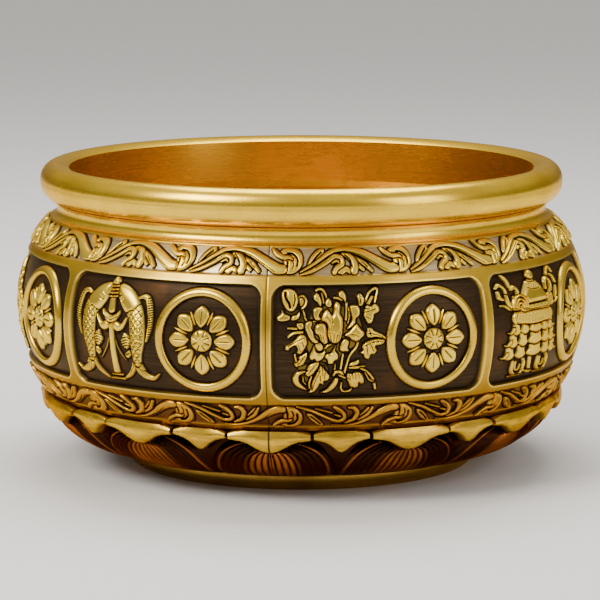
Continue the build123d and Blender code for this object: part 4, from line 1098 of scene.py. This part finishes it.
def draw_banner_arms(c):
    """Flames and keels at the shoulders, and the ribbons that hang below."""
    c.strip((-17.1, 9.1, 0.7), (-14.9, 8.8, 0.9), (-12.1, 7.3, 1), (-7.9, 6.4, 0.8), rise=1.3, edge=0.4)
    c.strip((14.4, 6.9, 0.8), (17.4, 7.1, 0.9), (19.3, 8.2, 0.6), rise=1.2, edge=0.4)
    c.strip((-13.5, 12.4, 1.2), (-12.7, 9.6, 2), (-10.4, 7.9, 2.2), (-7.7, 7.3, 1.6), rise=1.6, edge=0.9)
    c.strip((-13.8, 19.6, 0.9), (-12.6, 18.6, 1.7), (-11.6, 17.2, 1.6), (-11.2, 15.4, 1), rise=1.7,
            edge=0.7)
    c.strip((-10.4, 14.4, 1.2), (-8.8, 15, 1.5), (-7.2, 13.6, 1.5), (-7.8, 11.8, 1.4), (-9.6, 11.4, 1.1),
            rise=1.7, edge=0.6)
    c.strip((-18.2, 15.4, 0.8), (-16.2, 16.4, 1.3), (-14, 15, 1.2), (-13.4, 13.4, 0.9), rise=1.5,
            edge=0.5)
    c.strip((-17.4, 13.8, 1.3), (-17.2, 12.2, 1.8), (-15.6, 11.2, 1.2), rise=1.6, edge=0.7)
    c.strip((10.9, 12.6, 1.2), (11.2, 15, 1.6), (13.2, 15.9, 1.4), (14.8, 14.4, 1.3), (14.6, 12.2, 1.6),
            (13.2, 10.8, 1.2), rise=1.7, edge=0.6)
    c.strip((13.8, 17.2, 1), (15, 19, 1.3), (17, 19.4, 1.3), (18.2, 17.8, 1), rise=1.6, edge=0.5)
    c.strip((16.4, 16.8, 0.9), (18.2, 16, 1.5), (19.2, 14, 1.2), rise=1.5, edge=0.6)
    c.strip((17.2, 8.9, 1), (18.2, 10.6, 1.9), (18.8, 12.4, 0.9), rise=1.6, edge=0.7)
    for shift in (0, 15.4):
        c.strip((-9.4 + shift, -12.2, 0.9), (-9.2 + shift, -15.8, 1.2), (-6.8 + shift, -17.5, 1.2),
                (-3.6 + shift, -16.8, 1.2), (-2.7 + shift, -13.7, 1.2), (-3.8 + shift, -11.8, 0.9),
                rise=1.6, edge=0.5)
        c.strip((-7.6 + shift, -12.6, 0.7), (-7.4 + shift, -15.2, 0.9), (-5.6 + shift, -15.8, 0.9),
                (-4.8 + shift, -13.9, 0.8), rise=1.2, edge=0.4)
        c.strip((-9.9 + shift, -18, 0.6), (-3.6 + shift, -18, 0.7), rise=1.2, edge=0.3)
    c.strip((0.5, -11.6, 1.6), (0.8, -14, 1.6), (1.3, -16, 1.4), rise=1.5, edge=0.8)
    c.strip((-2.1, -16.5, 0.8), (0.6, -17.2, 1.3), (3, -17.2, 0.8), rise=1.5, edge=0.5)


def draw_knot():
    """Endless knot: six crossing cords, over and under, with looped ends."""
    c = Canvas((-19, -19), (19, 19))
    cord = 2.1
    gap = 5.2
    reach = 7.4

    def point(a, b):
        return ((a - b) * math.sqrt(0.5), (a + b) * math.sqrt(0.5), cord)

    lines = [-gap, 0, gap]
    for a, b in ((1, 0), (-1, 0), (0, 1), (0, -1)):
        for first, second in ((-gap, 0), (0, gap)):
            middle = (first + second) / 2
            if a:
                ring = [point(a * reach, first), point(a * (reach + 2.4), middle),
                        point(a * reach, second)]
            else:
                ring = [point(first, b * reach), point(middle, b * (reach + 2.4)),
                        point(second, b * reach)]
            c.strip(*ring, rise=1.6, edge=1)
    for a, b in ((1, 1), (-1, 1), (1, -1), (-1, -1)):
        out = reach + 3.6
        c.strip(point(a * gap, b * reach), point(a * (gap + 0.6), b * out),
                point(a * out, b * (gap + 0.6)), point(a * reach, b * gap), rise=1.6, edge=1)
    for value in lines:
        c.strip(point(value, -reach), point(value, reach), rise=1.7, edge=1)
    for value in lines:
        c.strip(point(-reach, value), point(reach, value), rise=1.7, edge=1)
    for i, first in enumerate(lines):
        for k, second in enumerate(lines):
            if (i + k) % 2 == 0:
                c.strip(point(first, second - 1.9), point(first, second + 1.9), rise=1.8, edge=1)
    for a in (-1, 1):
        c.strip((a * 11.8, 0.8, 1.1), (a * 15.4, 3, 1.3), (a * 17.4, 0, 1.2), (a * 15.4, -3, 1.3),
                (a * 11.8, -0.8, 1.1), rise=1.4, edge=0.5)
        c.blob((a * 1, -12.4), (a * 2.2, -14.4), (a * 4.4, -17.4), (a * 2.2, -16.6), (a * 0.6, -14),
               rise=1.3, edge=0.6)
    c.blob((-1.6, 12.6), (-1.4, 15.2), (0, 17.6), (1.4, 15.2), (1.6, 12.6), rise=1.6, edge=0.9)
    return c


def draw_rosette():
    """Eight separate petals round a domed boss, with thin leaves between."""
    c = Canvas((-13, -13), (13, 13))
    for turn in range(8):
        a = math.radians(45 * turn)

        def spin(*points):
            return [(r * math.cos(a) - s * math.sin(a), r * math.sin(a) + s * math.cos(a), *rest) for r,
                    s, *rest in points]
        c.strip(*spin((5.6, 2.35, 0.4), (8, 3.35, 1), (10.2, 4.25, 0.4)), rise=1, edge=0.4)
        c.blob(*spin((4.9, 0), (7.2, 2.1), (10.2, 2.6), (12.4, 0), (10.2, -2.6), (7.2, -2.1)), rise=1.45,
               edge=0.9, veins=[spin((6, 0), (10.6, 0))])
    c.blob(*[(3.9 * math.cos(t), 3.9 * math.sin(t)) for t in np.linspace(0, 2 * math.pi, 9)[:-1]],
           rise=1.5, edge=2.2)
    for turn in range(8):
        t = math.radians(45 * turn + 22.5)
        c.cut((1.6 * math.cos(t), 1.6 * math.sin(t)), (3.4 * math.cos(t), 3.4 * math.sin(t)), width=0.25,
              deep=0.5)
    return c


def draw_head(c, side):
    """Curled head at the end of a wave's stem, with its hook and leaf slits."""
    def flip(*points):
        return [(p[0], side * p[1], *p[2:]) for p in points]
    c.blob(*flip((28.6, -3.7), (31.4, -3.4), (33.6, -1.6), (34.3, 0.8), (33.5, 3.2), (31.2, 4.5),
           (28, 4.4), (26.3, 3.2), (26.6, 1.6), (27.6, 0), (27.4, -2.2)), rise=1.5, edge=1.3)
    c.cut(*flip((29, 3), (31, 2.6), (32.4, 1), (32.3, -1)), width=0.3, deep=1.3)
    c.cut(*flip((28, -3), (28.9, -1.6), (29, 0.2)), width=0.26, deep=1.2)
    c.cut(*flip((30.4, 0.8), (31.1, -0.4), (30.6, -2)), width=0.2, deep=0.9)
    c.strip(*flip((23.4, 4.4, 0.9), (24.8, 2.9, 1.6), (27.2, 1.7, 1.7), (29.4, 1.7, 1.4), (30.6, 1, 0.7)),
            rise=1.6, edge=0.7)


def draw_upper_wave():
    """One wave of the upper scroll."""
    c = Canvas((-9, -5.6), (37, 5.6), WAVE_CELL)
    c.blob((-3.5, -1.9), (-3.3, 0.2), (-1.5, 2.6), (0.8, 4.2), (2.2, 4.2), (2.1, 2.4), (0.5, 0.4),
           (-1.6, -1), rise=1.3, edge=0.8)
    c.cut((-2.4, -0.4), (-0.6, 1.7), (1.2, 3.3), width=0.3, deep=1)
    c.strip((13.2, 1.5, 0.8), (16.4, -0.6, 1.6), (18.9, -3, 1.3), rise=1.3, edge=0.6)
    c.strip((12.6, 0.8, 0.6), (14.4, -1.3, 1.2), (15.8, -2.6, 1.3), rise=1.1, edge=0.4)
    c.cut((15.4, 0.2), (17.6, -1.8), width=0.2, deep=0.5)
    c.blob((6, -3.4), (7.4, -2.6), (8.6, -1.6), (10.4, -1.8), (11.6, -2.8), (11.2, -3.8), (9.6, -3.2),
           (8.4, -4), (7, -3.6), rise=1.1, edge=0.6)
    c.strip((9.2, 2.7, 1.2), (11.6, 1.6, 2.2), (13, -0.6, 2.6), (12.6, -2.8, 2.8), rise=1.5, edge=0.9)
    c.cut((9.8, 2.4), (11.4, 0.8), (11.9, -1.4), width=0.24, deep=0.8)
    c.cut((13.2, 1), (14, -0.8), (13.6, -2.4), width=0.16, deep=0.4)
    c.strip((-6, -4, 0.7), (-2, -2.7, 1.3), (3, 0, 1.5), (6, 1.9, 1.5), (8.4, 1.3, 1.6), (8.6, -0.6, 1.7),
            (6.6, -1.8, 1.7), (5.6, -3.3, 1.7), rise=1.5, edge=0.7)
    c.strip((5, -0.3, 0.6), (6.6, 0.5, 0.9), (7.3, 0, 0.6), rise=1.1, edge=0.35)
    c.cut((-1, -1.8), (3.2, 0.5), (6.2, 2.2), width=0.16, deep=0.35)
    draw_head(c, 1)
    c.strip((-6.3, -3.2, 0.6), (-1.6, -0.6, 1.2), (4.6, 3.2, 1.5), (10, 4.1, 1.8), (15.6, 3, 2.4),
            (20.6, 0.5, 3), (24.8, -1.9, 3.6), (27.4, -2.3, 3), rise=1.5, edge=1.2)
    c.cut((5.6, 3), (10.4, 3.4), (15.8, 2.1), (20.4, -0.5), (24.6, -3), width=0.18, deep=0.4)
    return c


def draw_lower_wave():
    """One wave of the lower scroll."""
    c = Canvas((-9, -5), (37, 5), WAVE_CELL)
    c.blob((-4, 1.2), (-2.4, 0.9), (-0.2, -0.9), (1.6, -2.8), (1.9, -3.8), (0.4, -3.6), (-1.6, -2.4),
           (-3.4, -0.4), rise=1.3, edge=0.7)
    c.cut((-2.6, 0), (-0.6, -1.6), (0.8, -3), width=0.26, deep=0.9)
    c.strip((14.2, -1.6, 0.8), (17.2, 0.2, 1.5), (18.9, 3, 1.1), rise=1.3, edge=0.5)
    c.strip((15, 0.2, 0.7), (16.8, 2, 1), (17.6, 3, 0.7), rise=1.1, edge=0.4)
    c.strip((9.8, -2.7, 1), (12.8, -1.1, 1.9), (13.6, 1.3, 1.9), (12.4, 3, 1.7), (10.6, 3.2, 1), rise=1.5,
            edge=0.7)
    c.cut((11.6, -1.2), (12.5, 1), (11.6, 2.4), width=0.22, deep=0.7)
    c.strip((-1, 3.1, 0.6), (4.8, 1.3, 0.8), rise=1.1, edge=0.3)
    c.strip((5.8, 0.6, 0.7), (8, -0.2, 1), rise=1.1, edge=0.4)
    c.strip((-7.4, 3.9, 0.7), (-2.2, 2.1, 1.4), (2.6, -0.4, 1.5), (6.4, -2, 1.5), (9, -1.3, 1.6),
            (9, 0.7, 1.7), (7.2, 2.4, 1.8), (5.4, 3.6, 1.2), rise=1.5, edge=0.7)
    c.cut((-3, 2), (2.4, -0.9), (6.4, -2.4), width=0.16, deep=0.35)
    c.cut((8.2, -0.4), (7.8, 1.4), (6.2, 2.8), width=0.16, deep=0.5)
    draw_head(c, -1)
    c.strip((5.2, -3.4, 0.6), (9.4, -3.9, 1.1), (14, -3.2, 1.5), (18.2, -1.4, 2), (21.8, 1, 2.7),
            (25.2, 2.5, 3), (27.4, 2.6, 2.6), rise=1.5, edge=1.1)
    c.cut((15, -3.4), (19.4, -1.6), (23.4, 1.2), width=0.16, deep=0.3)
    return c


def make_ring(number, azimuth):
    """Half-round moulding that follows the panel's curve."""
    segments = 160
    sides = 14
    t = np.linspace(0, 2 * math.pi, segments, endpoint=False)
    section = np.radians(np.linspace(180, 0, sides))
    half = RING_HALF
    mid_u, mid_h = (outer - half for outer in RING_OUTER)
    offset = np.concatenate([np.cos(section) * half, [half * 1.3, -half * 1.3]])
    lift = np.concatenate([0.25 + np.sin(section) * 1.6, [-0.3, -0.3]])
    u = (mid_u + offset[:, None]) * np.cos(t)[None, :]
    h = (mid_h + offset[:, None]) * np.sin(t)[None, :]
    points = on_panel(azimuth)(u, h, lift[:, None] + 0 * u).reshape(-1, 3)
    rows = len(offset)
    faces = [face[::-1] for face in grid_faces(rows, segments, wrap=True)]
    last = (rows - 1) * segments
    faces += [[c, (c + 1) % segments, last + (c + 1) % segments, last + c] for c in range(segments)]
    level = np.repeat(np.clip(lift / 1.85, 0, 1), segments)
    new_piece(f"medallion_ring_{number}_cast", points, faces,
              [f"medallion_ring_{number}"], MEDALLION, {"level": level})


def make_ornaments():
    """An emblem, a round moulding and a rosette in each panel."""
    drawings = {"peony": draw_peony(), "banner": draw_banner(), "knot": draw_knot(),
                "fish_pair": draw_fish_pair()}
    rosette = draw_rosette()
    for index in range(PANELS):
        name = list(drawings)[index % len(drawings)]
        copy = index // len(drawings) + 1
        middle = PANEL_PITCH * (index + 0.5)
        relief_mesh(f"{name}_{copy}_chased", drawings[name], on_panel(middle - MOTIF_SHIFT),
                    [f"{name}_{copy}"], RELIEF, 1.9)
        make_ring(index + 1, middle + MOTIF_SHIFT)
        relief_mesh(f"rosette_{index + 1}_chased", rosette, on_panel(middle + MOTIF_SHIFT),
                    [f"rosette_{index + 1}"], RELIEF, 1.5)


def make_scrolls():
    """Both running scrolls, wave after wave."""
    for band, canvas in ((UPPER_BAND, draw_upper_wave()), (LOWER_BAND, draw_lower_wave())):
        middle = sum(band) / 2
        label = "upper" if band is UPPER_BAND else "lower"
        for index in range(WAVES):
            place = on_band(SCROLL_START + SCROLL_PITCH * index, middle)
            relief_mesh(f"{label}_scroll_wave_{index + 1}", canvas, place,
                        [f"{label}_scroll"], RELIEF, 1.5)


# ---------------------------------------------------------------- studio
CAMERA_AZIMUTH = 6.66       # degrees, as are the panels' azimuths
CAMERA_DISTANCE = 1.182     # metres, as is the rest of the studio
CAMERA_HEIGHT = 0.2444
CAMERA_PITCH = 8.82         # degrees down
CAMERA_LENS = 184.65
CAMERA_SHIFT = -0.0023


def make_camera():
    camera = bpy.data.objects.new("camera", bpy.data.cameras.new("camera"))
    camera.data.lens = CAMERA_LENS
    camera.data.sensor_width = 36.0
    camera.data.shift_x = CAMERA_SHIFT
    camera.data.clip_end = 50.0
    a = math.radians(CAMERA_AZIMUTH)
    camera.location = (CAMERA_DISTANCE * math.sin(a), -CAMERA_DISTANCE * math.cos(a), CAMERA_HEIGHT)
    camera.rotation_euler = (math.radians(90 - CAMERA_PITCH), 0.0, a)
    bpy.context.collection.objects.link(camera)
    bpy.context.scene.camera = camera


def add_light(name, place, target, size, power, colour=(1, 1, 1)):
    """Rectangular light at a place, turned to a target."""
    data = bpy.data.lights.new(name, "AREA")
    data.shape = "RECTANGLE"
    data.size, data.size_y = size
    data.energy = power
    data.color = colour
    light = bpy.data.objects.new(name, data)
    light.location = place
    direction = np.array(target) - np.array(place)
    yaw = math.atan2(direction[0], -direction[1])
    tilt = math.atan2(-direction[2], math.hypot(direction[0], direction[1]))
    light.rotation_euler = (math.radians(90) - tilt, 0.0, math.pi + yaw)
    bpy.context.collection.objects.link(light)


def make_studio():
    """Soft grey surroundings, three broad lights and a pale floor."""
    world = bpy.data.worlds.new("studio")
    bpy.context.scene.world = world
    world.use_nodes = True
    tree = world.node_tree
    background = tree.nodes["Background"]
    coords = tree.nodes.new("ShaderNodeTexCoord").outputs["Generated"]
    split = tree.nodes.new("ShaderNodeSeparateXYZ")
    tree.links.new(coords, split.inputs[0])
    sky = blend_colour(tree, ramp(tree, split.outputs[2], -0.1, 0.75), (0.26, 0.24, 0.22),
                       (1.0, 0.98, 0.95))
    tree.links.new(sky, background.inputs["Color"])
    background.inputs["Strength"].default_value = 0.75
    add_light("key", (-0.7, -0.75, 0.95), (0, 0, 0.06), (0.6, 0.6), 16.0, (1.0, 0.97, 0.92))
    add_light("fill", (0.95, -0.6, 0.5), (0, 0, 0.06), (0.5, 0.8), 4.5, (1.0, 0.95, 0.88))
    add_light("top", (0.0, 0.35, 1.1), (0, 0, 0.08), (0.9, 0.6), 12.0)
    floor = bpy.data.materials.new("pale_floor")
    floor.use_nodes = True
    shader = floor.node_tree.nodes["Principled BSDF"]
    shader.inputs["Base Color"].default_value = (0.80, 0.78, 0.75, 1.0)
    shader.inputs["Roughness"].default_value = 0.85
    half = 4.0
    mesh = bpy.data.meshes.new("floor")
    mesh.from_pydata([(-half, -half, 0), (half, -half, 0), (half, half, 0), (-half, half, 0)], [],
                     [(0, 1, 2, 3)])
    mesh.materials.append(floor)
    plane = bpy.data.objects.new("floor", mesh)
    bpy.context.collection.objects.link(plane)


make_camera()
make_studio()
make_rim()
make_neck()
make_foot()
make_plate()
make_shell()
make_lotus()
make_ornaments()
make_scrolls()
